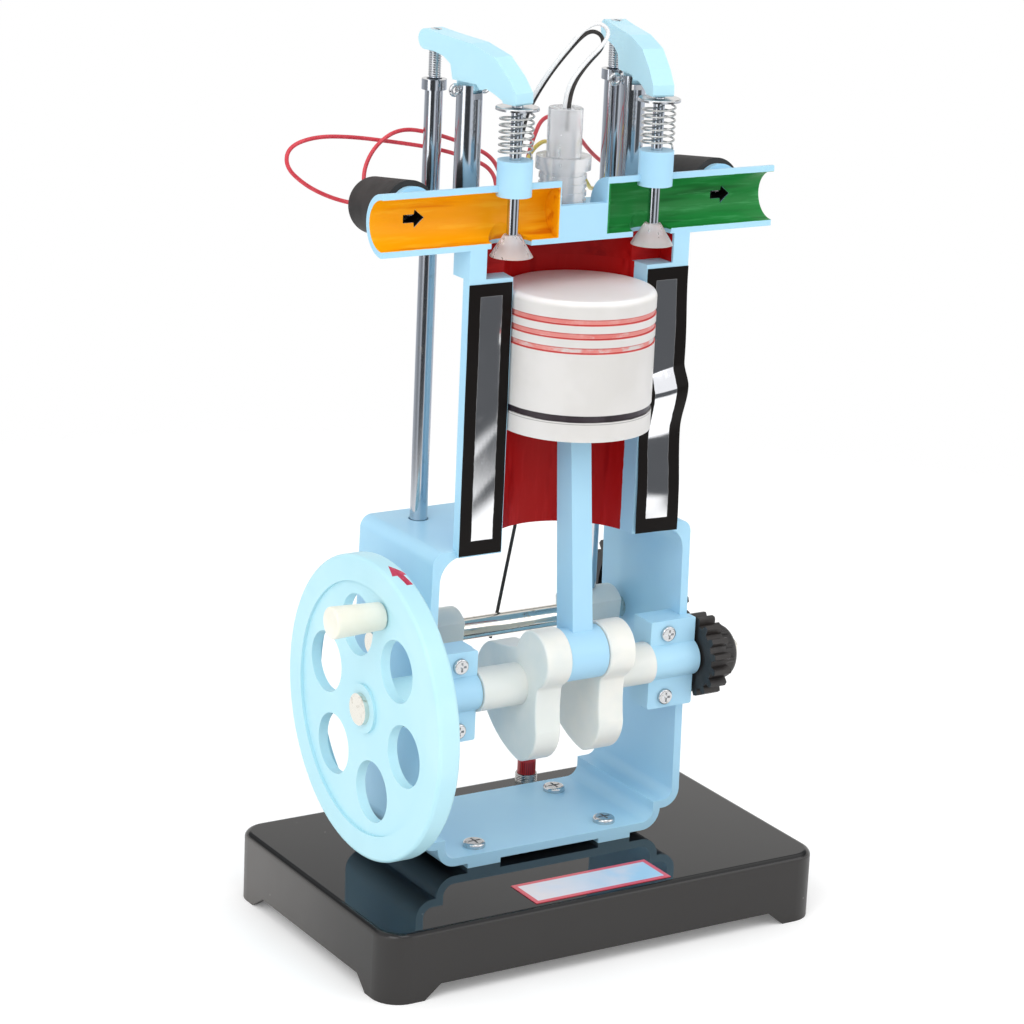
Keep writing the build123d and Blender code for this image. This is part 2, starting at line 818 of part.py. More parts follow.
def spark_plug():
    shoulder = slab_z + plug_thread_height
    cap = shoulder + plug_flange_height
    with BuildPart() as plug:
        post(roof_z, slab_z, plug_spigot, 0, plug_y)
        post(slab_z, shoulder, plug_thread, 0, plug_y)
        grooves = int(plug_thread_height / thread_pitch)
        for number in range(grooves):
            level = slab_z + thread_pitch * (number + thread_start_share)
            with BuildSketch(Plane.XY.offset(level)) as groove:
                with Locations((0, plug_y)):
                    Circle(plug_thread)
                    Circle(plug_thread - thread_groove, mode=Mode.SUBTRACT)
            extrude(groove.sketch, amount=thread_pitch / 2, mode=Mode.SUBTRACT)
        post(shoulder, cap, plug_flange, 0, plug_y)
        post(cap, cap + plug_top_height, plug_top_radius, 0, plug_y)
        fillet(plug.edges().group_by(Axis.Z)[-1], plug_edge)
        post(slab_z + plug_edge, cap + plug_top_height, plug_bore, 0, plug_y, Mode.SUBTRACT)
    return plug


def contact_spring():
    """Wire that hangs from the crown of the frame behind the camshaft."""
    y = cam_y + contact_set_back
    drop = crown_z - crank_z
    knee = crown_z - drop * contact_top_share
    elbow = crown_z - drop * contact_knee_share
    with BuildPart() as spring:
        with BuildLine() as route:
            FilletPolyline((contact_top_x, y, crown_z), (contact_top_x, y, knee),
                           (contact_tip_x + contact_elbow, y, elbow), (contact_tip_x, y, crank_z),
                           radius=contact_bend)
        with BuildSketch(Plane(origin=route.line @ 0, z_dir=route.line % 0)) as section:
            Circle(contact_wire)
        sweep(section.sketch, path=route.line)
    return spring


def rocker_point(side, along):
    """Place of a point on the line from the push rod to the valve, as X and Y."""
    share = along / rocker_reach
    return side * (rod_x - rocker_run_x * share), rod_y - rocker_run_y * share


def rocker_plane(side):
    """Upright plane of a rocker: its X runs from the push rod to the valve, its Y is up."""
    run = Vector(-side * rocker_run_x, -rocker_run_y, 0).normalized()
    return Plane(origin=(side * rod_x, rod_y, 0), x_dir=run, z_dir=Vector(run.Y, -run.X, 0))


# Outline of a rocker as shares of its reach and of its height above the valve
rocker_top_shares = ((0.178, 0.958), (0.531, 0.907), (0.805, 0.753), (0.979, 0.447), (1.075, 0.2))
rocker_pad_shares = ((1.08, 0.03), (1.07, 0), (0.93, 0), (0.915, 0.045), (0.82, 0.125), (0.73, 0.18),
                     (0.65, 0.14), (0.607, 0.22))
rocker_heel_shares = ((0.32, 0.22), (0.289, 0.479), (0.203, 0.586), (0.086, 0.637))
rocker_end_shares = ((-0.026, 0.637), (-0.109, 0.819), (-0.026, 1))


def rocker_arm(side):
    def spot(shares):
        return shares[0] * rocker_reach, pad_z + shares[1] * rocker_height

    low, far, high = [spot(pair) for pair in rocker_end_shares]
    top = [high] + [spot(pair) for pair in rocker_top_shares]
    under = [spot(pair) for pair in rocker_pad_shares] + [spot(pair) for pair in rocker_heel_shares] + [low]
    plane = rocker_plane(side)
    with BuildPart() as rocker:
        with BuildSketch(plane) as body:
            with BuildLine():
                ThreePointArc(low, far, high)
                Polyline(top)
                Line(top[-1], under[0])
                Polyline(under)
            make_face()
        extrude(body.sketch, amount=rocker_thickness / 2, both=True)
        with BuildSketch(plane) as tongue:
            hub = (pivot_s, pivot_z)
            with Locations(hub):
                Circle(hub_drop)
            with Locations((pivot_s, pivot_z + hub_drop)):
                Rectangle(2 * post_radius, 2 * hub_drop)
        extrude(tongue.sketch, amount=tongue_thickness / 2, both=True)
        with BuildSketch(plane) as holes:
            with Locations((pivot_s, pivot_z)):
                Circle(pivot_radius + turn_gap)
        extrude(holes.sketch, amount=rocker_thickness, both=True, mode=Mode.SUBTRACT)
        post(screw_tip, screw_tip + 2 * screw_height, screw_radius, side * rod_x, rod_y, Mode.SUBTRACT)
    return rocker


def adjusting_screw(side):
    top = screw_tip + screw_height
    with BuildPart() as screw:
        post(screw_tip + screw_radius, top, screw_radius, side * rod_x, rod_y)
        with Locations((side * rod_x, rod_y, screw_tip + screw_radius)):
            Sphere(screw_radius)
        block((side * rod_x - screw_slot / 2, rod_y - 2 * screw_radius, top - screw_slot),
              (side * rod_x + screw_slot / 2, rod_y + 2 * screw_radius, top + overrun), Mode.SUBTRACT)
    return screw


def rocker_post(side):
    x, y = rocker_point(side, pivot_s)
    plane = rocker_plane(side)
    slot_width = tongue_thickness + 2 * tongue_gap
    slot_floor = pivot_z - slot_drop
    with BuildPart() as upright:
        post(slab_z - post_seat, pivot_z + ear_top, post_radius, x, y)
        with BuildSketch(plane) as slot:
            with Locations((pivot_s, slot_floor + slot_drop)):
                Rectangle(4 * post_radius, 2 * slot_drop)
        extrude(slot.sketch, amount=slot_width / 2, both=True, mode=Mode.SUBTRACT)
        with BuildSketch(plane) as hole:
            with Locations((pivot_s, pivot_z)):
                Circle(pivot_radius)
        extrude(hole.sketch, amount=2 * post_radius, both=True, mode=Mode.SUBTRACT)
    return upright


def rocker_pins():
    """Pins of the two rockers, each with an eye at its outer end."""
    with BuildPart() as pins:
        for side in (-1, 1):
            plane = rocker_plane(side)
            with BuildSketch(plane) as shaft:
                with Locations((pivot_s, pivot_z)):
                    Circle(pivot_radius)
            extrude(shaft.sketch, amount=post_radius + pivot_eye - pivot_radius, both=True)
            for end in (-1, 1):
                eye = plane.offset(end * (post_radius + pivot_eye))
                centre = eye.from_local_coords(Vector(pivot_s, pivot_z, 0))
                with Locations(Plane(origin=centre, x_dir=plane.z_dir, z_dir=plane.x_dir)):
                    Torus(pivot_eye - pivot_radius, pivot_radius)
    return pins


def push_rod(side):
    top = rod_top + cup_height
    with BuildPart() as rod:
        post(foot_z, rod_top, rod_radius, side * rod_x, rod_y)
        post(rod_top, top, cup_radius, side * rod_x, rod_y)
        post(top - cup_recess_depth, top, cup_recess, side * rod_x, rod_y, Mode.SUBTRACT)
    return rod


def valve_stem(side):
    bottom = roof_z - valve_head_drop + valve_head_height
    with BuildPart() as stem:
        post(bottom, stem_z, stem_radius, side * valve_x, cut_y)
        fillet(stem.edges().group_by(Axis.Z)[-1], stem_tip_edge)
    return stem


def valve_head(side):
    bottom = roof_z - valve_head_drop
    with BuildPart() as head:
        with Locations((side * valve_x, cut_y, bottom)):
            Cone(valve_head_radius, valve_neck_radius, valve_head_height,
                 align=(Align.CENTER, Align.CENTER, Align.MIN))
    return head


def spring_retainer(side):
    with BuildPart() as retainer:
        post(retainer_z, retainer_z + retainer_thickness, retainer_radius, side * valve_x, cut_y)
        fillet(retainer.edges().group_by(Axis.Z)[-1], retainer_edge)
        post(retainer_z, retainer_z + retainer_thickness, stem_radius, side * valve_x, cut_y, Mode.SUBTRACT)
    return retainer


def spring_point(turn, side):
    """Point and direction of the spring's wire after this many turns."""
    lift = spring_height - 2 * (spring_wire * 2 + spring_rise)
    angle = 2 * math.pi * turn
    slope = lift / spring_turns / (2 * math.pi * spring_radius)
    level = guide_z + 2 * spring_wire + spring_rise + lift * turn / spring_turns
    point = Vector(side * valve_x + spring_radius * math.cos(angle), cut_y + spring_radius * math.sin(angle),
                   level)
    run = Vector(-math.sin(angle), math.cos(angle), slope).normalized()
    return point, run


def biarc(start, start_run, end, end_run):
    """Two arcs that leave start and reach end in the given directions."""
    chord = end - start
    both = start_run + end_run
    a = both.dot(both) - 4
    b = -2 * chord.dot(both)
    c = chord.dot(chord)
    reach = (-b - math.sqrt(b * b - 4 * a * c)) / (2 * a)
    if reach < 0:
        reach = (-b + math.sqrt(b * b - 4 * a * c)) / (2 * a)
    first = start + start_run * reach
    last = end - end_run * reach
    middle = (first + last) / 2
    TangentArc(start, middle, tangent=start_run)
    TangentArc(middle, end, tangent=last - first)


def valve_spring(side):
    up = Vector(0, 0, 1)
    quarters = 4 * spring_turns
    marks = [spring_point(number / 4, side) for number in range(quarters + 1)]
    foot, foot_run = marks[0]
    crown, crown_run = marks[-1]
    straight = 2 * spring_wire
    bend = up * spring_rise
    foot_start = foot - Vector(foot_run.X, foot_run.Y, 0).normalized() * spring_rise - bend
    crown_end = crown + Vector(crown_run.X, crown_run.Y, 0).normalized() * spring_rise + bend
    with BuildPart() as spring:
        with BuildLine() as route:
            Line(foot_start - up * straight, foot_start)
            biarc(foot_start, up, foot, foot_run)
            for (start, start_run), (end, end_run) in zip(marks, marks[1:]):
                biarc(start, start_run, end, end_run)
            biarc(crown, crown_run, crown_end, up)
            Line(crown_end, crown_end + up * straight)
        with BuildSketch(Plane(origin=foot_start - up * straight, z_dir=up)) as section:
            Circle(spring_wire)
        sweep(section.sketch, path=route.line)
    gap = (spring_height - 2 * (straight + spring_rise)) / spring_turns - 2 * spring_wire
    if side > 0:
        print("least gap between turns of a valve spring", round(gap, 2))
    return spring


def involute(radius, base):
    """Turn of an involute between its base circle and this radius, in radians."""
    ratio = math.sqrt(max((radius / base) ** 2 - 1, 0))
    return ratio - math.atan(ratio)


def gear_profile(teeth, phase):
    """Face of a spur gear around the local origin, with a tooth at the angle phase."""
    pitch = gear_module * teeth / 2
    base = pitch * math.cos(math.radians(pressure_angle))
    root = pitch - dedendum
    tip = pitch + addendum
    start = max(root, base)
    half_tooth = math.pi / (2 * teeth) - backlash / (4 * pitch) + involute(pitch, base)
    step = 2 * math.pi / teeth

    def spot(radius, angle):
        return radius * math.cos(angle), radius * math.sin(angle)

    def flank(centre, hand):
        radii = (start, (start + tip) / 2, tip)
        return [spot(r, centre + hand * (half_tooth - involute(r, base))) for r in radii]

    with BuildLine() as outline:
        for number in range(teeth):
            centre = phase + number * step
            up = flank(centre, -1)
            down = flank(centre, 1)
            following = centre + step
            foot = half_tooth - involute(start, base)
            if start > root:
                Line(spot(root, centre - foot), up[0])
                Line(down[0], spot(root, centre + foot))
            ThreePointArc(*up)
            ThreePointArc(up[-1], spot(tip, centre), down[-1])
            ThreePointArc(*reversed(down))
            ThreePointArc(spot(root, centre + foot), spot(root, centre + step / 2), spot(root, following - foot))
    return outline.line


def gear_body(teeth, phase, y, z):
    """Toothed disc at the place of the gear pair."""
    plane = Plane(origin=(gear_start, y, z), x_dir=(0, 1, 0), z_dir=(1, 0, 0))
    with BuildSketch(plane) as profile:
        with BuildLine():
            add(gear_profile(teeth, phase))
        make_face()
    extrude(profile.sketch, amount=gear_width)


mesh_angle = math.atan2(cam_z - crank_z, cam_y - cut_y)


def crank_gear():
    hub_end = gear_start + gear_width + gear_hub_length
    with BuildPart() as gear:
        gear_body(crank_teeth, mesh_angle, cut_y, crank_z)
        bar(gear_start + gear_width, hub_end, gear_hub_radius, cut_y, crank_z)
        fillet(gear.edges().group_by(Axis.X)[-1], gear_hub_radius / 3)
        for number in range(hub_rib_count):
            angle = 2 * math.pi * number / hub_rib_count
            bar(gear_start + gear_width, hub_end - gear_hub_radius / 3, hub_rib_radius,
                cut_y + gear_hub_radius * math.cos(angle), crank_z + gear_hub_radius * math.sin(angle))
        bar(gear_start - overrun, hub_end + overrun, axle_radius, cut_y, crank_z, Mode.SUBTRACT)
    return gear


def cam_gear():
    teeth = crank_teeth * gear_ratio
    inner = gear_module * teeth / 2 - dedendum - cam_gear_rim
    dish = (gear_width - cam_gear_web) / 2
    with BuildPart() as gear:
        gear_body(teeth, mesh_angle + math.pi + math.pi / teeth, cam_y, cam_z)
        for start in (gear_start, gear_start + gear_width - dish):
            with BuildSketch(Plane.YZ.offset(start)) as ring:
                with Locations((cam_y, cam_z)):
                    Circle(inner)
                    Circle(cam_gear_hub, mode=Mode.SUBTRACT)
            extrude(ring.sketch, amount=dish, mode=Mode.SUBTRACT)
        bar(gear_start - overrun, gear_start + gear_width + overrun, camshaft_radius, cam_y, cam_z,
            Mode.SUBTRACT)
    return gear


# Outline of a crank web as shares of its tail and half width, from the flank down to the corner
web_flank_shares = ((0.18, 0.56), (-0.1, 0.86))
web_corner_shares = ((-0.46, 1.0), (-0.78, 0.86))


def crank_web(side):
    lean = math.radians(crank_lean)
    toward_pin = Vector(0, -math.sin(lean), math.cos(lean))
    start = web_gap if side > 0 else -(web_gap + web_thickness)
    plane = Plane(origin=(start, cut_y, crank_z), x_dir=toward_pin, z_dir=(1, 0, 0))
    turn = math.radians(web_lobe_angle)
    shoulder = (throw + web_lobe_radius * math.cos(turn), web_lobe_radius * math.sin(turn))
    with BuildPart() as web:
        with BuildSketch(plane) as profile:
            with BuildLine():
                ThreePointArc((shoulder[0], -shoulder[1]), (throw + web_lobe_radius, 0), shoulder)
                for hand in (-1, 1):
                    flank = [(u * web_tail, hand * v * web_half_width) for u, v in web_flank_shares]
                    corner = [(u * web_tail, hand * v * web_half_width) for u, v in web_corner_shares]
                    ThreePointArc((shoulder[0], hand * shoulder[1]), flank[0], flank[1])
                    ThreePointArc(flank[1], corner[0], corner[1])
                tail = web_corner_shares[-1]
                ThreePointArc((tail[0] * web_tail, -tail[1] * web_half_width), (-web_tail, 0),
                              (tail[0] * web_tail, tail[1] * web_half_width))
            make_face()
            fillet(profile.vertices(), web_corner)
        extrude(profile.sketch, amount=web_thickness)
        fillet(web.faces().filter_by(Axis.X).edges(), web_edge)
        outer = side * (web_gap + web_thickness)
        bar(outer, side * (cap_inner - swing_gap), hub_radius, cut_y, crank_z)
        bar(side * axle_inner, side * cap_inner, axle_radius, cut_y, crank_z, Mode.SUBTRACT)
    return web


def crank_axles():
    with BuildPart() as axles:
        bar(-axle_inner, -wheel_end, axle_radius, cut_y, crank_z)
        bar(-wheel_end, -(wheel_end + disc_thickness), disc_radius, cut_y, crank_z)
        bar(axle_inner, tip_x, axle_radius, cut_y, crank_z)
        for end in (-1, 1):
            far = cut_y + end * 2 * axle_radius
            near = cut_y + end * tip_flat
            block((tip_x - tip_length, min(far, near), crank_z - 2 * axle_radius),
                  (tip_x + overrun, max(far, near), crank_z + 2 * axle_radius), Mode.SUBTRACT)
    return axles


def flywheel():
    with BuildPart() as wheel:
        bar(-wheel_end, -wheel_start, wheel_radius, cut_y, crank_z)
        fillet(wheel.edges(), wheel_edge)
        inner = wheel_radius - rim_width
        bar(-wheel_end, -(wheel_end - web_recess), inner, cut_y, crank_z, Mode.SUBTRACT)
        bar(-(wheel_end - web_recess - web_plate), -wheel_start, inner, cut_y, crank_z, Mode.SUBTRACT)
        bar(-wheel_end, -(wheel_start - wheel_hub_reach), wheel_hub_radius, cut_y, crank_z)
        for number in range(wheel_hole_count):
            angle = math.radians(wheel_hole_start + number * 360 / wheel_hole_count)
            bar(-wheel_end, -wheel_start, wheel_hole_radius, cut_y + wheel_hole_circle * math.cos(angle),
                crank_z + wheel_hole_circle * math.sin(angle), Mode.SUBTRACT)
        bar(-wheel_end, -(wheel_start - wheel_hub_reach), axle_radius, cut_y, crank_z, Mode.SUBTRACT)
        bar(-wheel_end, -wheel_start, handle_pin_radius, handle_y, handle_z, Mode.SUBTRACT)
    return wheel


def handle_pin():
    """Pin with a knob at its end, which keeps the grip on."""
    knob_end = grip_start + grip_length - grip_end_wall - swing_gap
    knob_start = knob_end - handle_cap_length
    with BuildPart() as pin:
        bar(-(wheel_end - web_recess - web_plate), -knob_start, handle_pin_radius, handle_y, handle_z)
        bar(-knob_start, -knob_end, handle_cap_radius, handle_y, handle_z)
        fillet(pin.edges().group_by(Axis.X)[0], handle_cap_length / 2)
    return pin


def handle_grip():
    """Grip closed at its end, with room inside for the knob of the pin."""
    room_end = grip_start + grip_length - grip_end_wall
    room_start = room_end - handle_cap_length - 2 * swing_gap
    with BuildPart() as grip:
        with BuildSketch(Plane.YZ.offset(-grip_start)) as near:
            with Locations((handle_y, handle_z)):
                Circle(grip_small)
        with BuildSketch(Plane.YZ.offset(-(grip_start + grip_length))) as far:
            with Locations((handle_y, handle_z)):
                Circle(grip_large)
        loft([near.sketch, far.sketch])
        fillet(grip.edges().group_by(Axis.X)[0], grip_edge)
        fillet(grip.edges().group_by(Axis.X)[-1], grip_edge)
        bar(-grip_start, -room_start, handle_pin_radius + turn_gap, handle_y, handle_z, Mode.SUBTRACT)
        bar(-room_start, -room_end, handle_cap_radius + turn_gap, handle_y, handle_z, Mode.SUBTRACT)
    return grip


def camshaft_rod():
    with BuildPart() as shaft:
        bar(-camshaft_end, gear_start + gear_width, camshaft_radius, cam_y, cam_z)
    return shaft


def cam(side):
    start = right_cam_start if side > 0 else cam_start
    inner = side * start

    def spot(radius, angle):
        turned = math.radians(angle + 90)
        return cam_y + radius * math.cos(turned), cam_z + radius * math.sin(turned)

    with BuildPart() as piece:
        with BuildSketch(Plane.YZ.offset(inner)) as profile:
            with BuildLine():
                ThreePointArc(spot(cam_nose, -nose_half_angle), spot(cam_nose, 0), spot(cam_nose, nose_half_angle))
                low = 180 - base_half_angle
                ThreePointArc(spot(cam_base, low), spot(cam_base, 180), spot(cam_base, -low))
                Line(spot(cam_nose, nose_half_angle), spot(cam_base, low))
                Line(spot(cam_nose, -nose_half_angle), spot(cam_base, -low))
            make_face()
        extrude(profile.sketch, amount=side * cam_length)
        fillet(piece.faces().filter_by(Axis.X).edges(), cam_edge)
        bar(inner, inner + side * cam_length, camshaft_radius, cam_y, cam_z, Mode.SUBTRACT)
    return piece


def piston():
    cavity = piston_radius - piston_wall
    ceiling = piston_top - piston_crown
    with BuildPart() as body:
        post(piston_bottom, piston_top, piston_radius, 0, cut_y)
        fillet(body.edges().group_by(Axis.Z)[-1], piston_edge)
        post(piston_bottom - overrun, ceiling, cavity, 0, cut_y, Mode.SUBTRACT)
        for side in (-1, 1):
            bar(side * wrist_boss_gap, side * (cavity + piston_wall / 2), wrist_boss, cut_y, wrist_z)
        bar(-(piston_radius - wrist_inset), piston_radius - wrist_inset, wrist_radius, cut_y, wrist_z,
            Mode.SUBTRACT)
        for drop in crown_grooves:
            ring_groove(piston_top - drop, groove_height, groove_depth)
        ring_groove(piston_top - ring_drop, ring_height, ring_depth)
    return body


def ring_groove(top, height, depth):
    """Groove around the piston, down from top."""
    with BuildSketch(Plane.XY.offset(top - height)) as groove:
        with Locations((0, cut_y)):
            Circle(piston_radius + overrun)
            Circle(piston_radius - depth, mode=Mode.SUBTRACT)
    extrude(groove.sketch, amount=height, mode=Mode.SUBTRACT)


def wrist_pin():
    reach = piston_radius - wrist_inset
    with BuildPart() as pin:
        bar(-reach, reach, wrist_radius, cut_y, wrist_z)
    return pin


def connecting_rod():
    along = Vector(0, pin_y - cut_y, pin_z - wrist_z).normalized()
    # Local X runs down the rod from the wrist pin, local Y to the back
    back = Vector(0, -along.Z, along.Y)
    plane = Plane(origin=(0, cut_y, wrist_z), x_dir=along, z_dir=along.cross(back))
    with BuildPart() as rod:
        with BuildSketch(plane) as column:
            Polygon((0, column_set_back - column_top / 2), (rod_length, column_set_back - column_bottom / 2),
                    (rod_length, column_set_back + column_bottom / 2), (0, column_set_back + column_top / 2),
                    align=None)
        extrude(column.sketch, amount=rod_half_thickness, both=True)
        bar(-rod_half_thickness, rod_half_thickness, small_end_radius, cut_y, wrist_z)
        bar(-pin_half_length, pin_half_length, big_end_radius, pin_y, pin_z)
        bar(-rod_half_thickness, rod_half_thickness, wrist_radius + turn_gap, cut_y, wrist_z, Mode.SUBTRACT)
        bar(-pin_half_length, pin_half_length, pin_radius, pin_y, pin_z, Mode.SUBTRACT)
    return rod


def crank_pin():
    with BuildPart() as pin:
        bar(-pin_half_length, pin_half_length, pin_radius, pin_y, pin_z)
    return pin


# Routes of the leads between their straight first and last stretches, chosen by hand. They are listed
# in the order of their holes in the head, from the left.
lead_routes = {
    "lead_left_back": ((-79.0, 36.0, 288.5), (-89.0, 37.5, 293.5), (-97.5, 38.0, 301.0),
                       (-96.0, 39.0, 308.5), (-84.0, 40.0, 311.5), (-68.0, 41.0, 310.3),
                       (-50.0, 41.0, 307.3), (-35.0, 38.5, 304.8), (-25.5, 30.0, 302.5),
                       (-18.3, 18.8, 299.2)),
    "lead_left_front": ((-65.0, 37.0, 297.5), (-59.5, 38.0, 307.0), (-49.0, 38.3, 313.0),
                        (-36.0, 36.5, 311.0), (-25.0, 28.5, 307.3), (-17.0, 18.5, 302.8)),
    "lead_plug_white": ((0.2, -3.2, 334.5), (7.0, -3.4, 342.5), (15.5, -3.0, 349.0), (18.0, -1.8, 353.4),
                        (14.0, -0.4, 356.6), (8.8, 1.0, 354.4), (3.2, 2.8, 347.4), (-2.2, 5.0, 339.8),
                        (-7.0, 7.0, 331.6), (-11.6, 8.5, 322.6), (-13.8, 9.6, 312.2),
                        (-15.0, 10.8, 301.0)),
    "lead_plug_black": ((3.0, -1.8, 334.0), (9.2, -1.2, 341.2), (16.5, -0.6, 347.0), (16.3, 0.4, 351.2),
                        (12.6, 1.5, 353.2), (8.9, 2.8, 351.2), (3.8, 4.8, 344.8), (-1.2, 7.0, 337.5),
                        (-5.6, 9.0, 329.5), (-9.8, 10.3, 320.8), (-11.2, 10.8, 311.0),
                        (-12.4, 11.2, 300.5)),
    "lead_right_yellow": ((62.0, 39.0, 284.5), (49.0, 42.0, 283.0), (38.5, 37.0, 284.0),
                          (31.0, 27.0, 287.5), (23.5, 21.5, 294.5), (15.0, 19.5, 302.0),
                          (6.0, 17.0, 308.5), (-2.0, 12.0, 309.8), (-8.0, 11.6, 304.0)),
    "lead_right_red": ((59.0, 39.0, 289.5), (47.2, 40.0, 292.3), (36.5, 35.5, 299.0), (26.0, 29.0, 307.5),
                       (15.5, 24.5, 316.0), (4.0, 20.5, 318.0), (-3.0, 16.0, 309.5), (-7.0, 13.0, 302.5)),
}

# Where the leads leave the lamp sleeves, from the middle of the sleeve's end: to the right and down
sleeve_exits = {
    "lead_left_back": (-1, (-2.5, 0.0)),
    "lead_left_front": (-1, (2.5, -2.5)),
    "lead_right_yellow": (1, (1.5, 0.5)),
    "lead_right_red": (1, (-2.5, -2.0)),
}


def lead_start(label):
    """First two points of a lead, on the piece that it comes out of."""
    if label in sleeve_exits:
        side, offset = sleeve_exits[label]
        return [sleeve_plane(side, sleeve_length + along).from_local_coords(Vector(*offset, 0))
                for along in (0, lead_exit)]
    hand = 1 if label == "lead_plug_black" else -1
    foot = slab_z + plug_thread_height + leg_length
    top = slab_z + plug_thread_height + plug_flange_height + plug_top_height
    return [Vector(hand * lead_spread, plug_y, level) for level in (foot, top)]


def lead(label):
    """Lead as a round tube of straight runs and arcs, which prints its bends and length."""
    number = list(lead_routes).index(label)
    x, y = lead_holes()[number]
    end = [Vector(x, y, slab_z + lead_rise), Vector(x, y, slab_z - lead_seat)]
    points = lead_start(label) + [Vector(*spot) for spot in lead_routes[label]] + end
    bends = []
    for before, here, after in zip(points, points[1:], points[2:]):
        first = here - before
        second = after - here
        half_turn = math.radians(first.get_angle(second)) / 2
        bends.append(bend_share * min(first.length, second.length) / math.tan(half_turn))
    with BuildPart() as tube:
        with BuildLine() as route:
            FilletPolyline(*points, radius=bends)
        with BuildSketch(Plane(origin=points[0], z_dir=points[1] - points[0])) as section:
            Circle(lead_radius)
        sweep(section.sketch, path=route.line)
    length = route.wire().length
    true_volume = math.pi * lead_radius ** 2 * length
    print(label, "length", round(length, 1), "bends", [round(bend, 1) for bend in bends],
          "volume to section times length", round(tube.part.volume / true_volume, 4))
    return tube


def main():
    pieces = {
        "base_shell": base_shell, "base_plate": base_plate, "base_screws": base_screws,
        "battery_pack": battery_pack, "label_plate": label_plate, "switch_collar": switch_collar,
        "switch_button": switch_button, "frame_bracket": frame_bracket, "frame_screws": frame_screws,
        "cylinder_block": cylinder_block, "cylinder_head": cylinder_head, "jacket_panels": jacket_panels,
        "cap_screws": cap_screws, "rocker_pins": rocker_pins, "lamps": lamps, "spark_plug": spark_plug,
        "contact_spring": contact_spring, "crank_axles": crank_axles, "crank_gear": crank_gear,
        "flywheel": flywheel, "handle_pin": handle_pin, "handle_grip": handle_grip,
        "camshaft_rod": camshaft_rod, "cam_gear": cam_gear, "piston": piston, "wrist_pin": wrist_pin,
        "connecting_rod": connecting_rod, "crank_pin": crank_pin,
    }
    for label, make in pieces.items():
        hand_over(make(), label)
    paired = {
        "bearing_cap": bearing_cap, "lamp_sleeve": lamp_sleeve, "crank_web": crank_web, "cam": cam,
        "rocker_post": rocker_post, "rocker_arm": rocker_arm, "adjusting_screw": adjusting_screw,
        "push_rod": push_rod, "valve_stem": valve_stem, "valve_head": valve_head,
        "spring_retainer": spring_retainer, "valve_spring": valve_spring,
    }
    for label, make in paired.items():
        for side, word in sides:
            hand_over(make(side), f"{label}_{word}")
    for label in lead_routes:
        hand_over(lead(label), label)


main()
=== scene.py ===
import math
import bmesh
import bpy
from mathutils import Matrix, Vector


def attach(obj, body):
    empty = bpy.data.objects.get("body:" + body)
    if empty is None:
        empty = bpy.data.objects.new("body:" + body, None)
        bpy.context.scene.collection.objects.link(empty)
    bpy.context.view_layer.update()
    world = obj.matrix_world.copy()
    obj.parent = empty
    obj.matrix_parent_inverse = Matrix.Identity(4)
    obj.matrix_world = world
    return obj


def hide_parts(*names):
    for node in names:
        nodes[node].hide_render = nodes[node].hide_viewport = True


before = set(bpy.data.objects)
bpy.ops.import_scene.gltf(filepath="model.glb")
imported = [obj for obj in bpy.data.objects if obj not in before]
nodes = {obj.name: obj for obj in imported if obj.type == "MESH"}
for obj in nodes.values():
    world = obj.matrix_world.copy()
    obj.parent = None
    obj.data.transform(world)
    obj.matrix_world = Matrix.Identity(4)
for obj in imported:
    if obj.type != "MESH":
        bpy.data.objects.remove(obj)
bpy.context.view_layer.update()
scene = bpy.context.scene

# Sizes of the engine that the pieces and the paint are placed by, in metres
CUT_Y = -0.018              # plane of the cut
CRANK_Z = 0.1033
WHEEL_RADIUS = 0.059
BORE = 0.030                # radius
PISTON_TOP = 0.25991
ROOF_Z = 0.277              # roof of the chamber
CHAMBER_HALF = 0.0418
POCKET_DEPTH = 0.009        # of the chamber beside the bore
PORT_Z = 0.2887
PORT_BORE = 0.0095
VALVE_X = 0.0314
SEAT_RADIUS = 0.0087
GUIDE_RADIUS = 0.0067
GUIDE_LOW = 0.2962          # lower end of the valve guides
LAMP_X = 0.0685             # middle of the lamp tube behind each port
SWITCH_X, SWITCH_Y = 0.030, 0.051
LABEL_X, LABEL_Y = -0.001, -0.0485
FILM_INNER, FILM_OUTER = 0.0304, 0.0490
FILM_LOW, FILM_HIGH = 0.1583, 0.2638


# Camera

PICTURE = 1024              # pixels across
FOCAL_PIXELS = 3393.117
SENSOR = 36.0
CAMERA_PLACE = (-0.685128, -1.069914, 0.542540)
AZIMUTH, ELEVATION, ROLL = (math.radians(angle) for angle in (-32.072, 16.557, 2.561))


def add_camera():
    """Camera at the photograph's viewing angle."""
    back = Vector((math.sin(AZIMUTH) * math.cos(ELEVATION), -math.cos(AZIMUTH) * math.cos(ELEVATION),
                   math.sin(ELEVATION)))
    right = (-back).cross(Vector((0, 0, 1))).normalized()
    up = right.cross(-back)
    across = right * math.cos(ROLL) + up * math.sin(ROLL)
    above = up * math.cos(ROLL) - right * math.sin(ROLL)
    lens = bpy.data.cameras.new("camera")
    lens.sensor_width = SENSOR
    lens.lens = FOCAL_PIXELS / PICTURE * SENSOR
    lens.clip_start = 0.05
    camera = bpy.data.objects.new("camera", lens)
    scene.collection.objects.link(camera)
    turn = Matrix((across, above, back)).transposed().to_4x4()
    camera.matrix_world = Matrix.Translation(CAMERA_PLACE) @ turn
    scene.camera = camera


add_camera()


# Building blocks of the materials

def put(tree, kind, values=None, out=0, **settings):
    """Add a node, fill or link its inputs, and return one of its outputs, or the node for out=None."""
    node = tree.nodes.new(kind)
    for name, value in settings.items():
        setattr(node, name, value)
    feed(tree, node, values or {})
    return node if out is None else node.outputs[out]


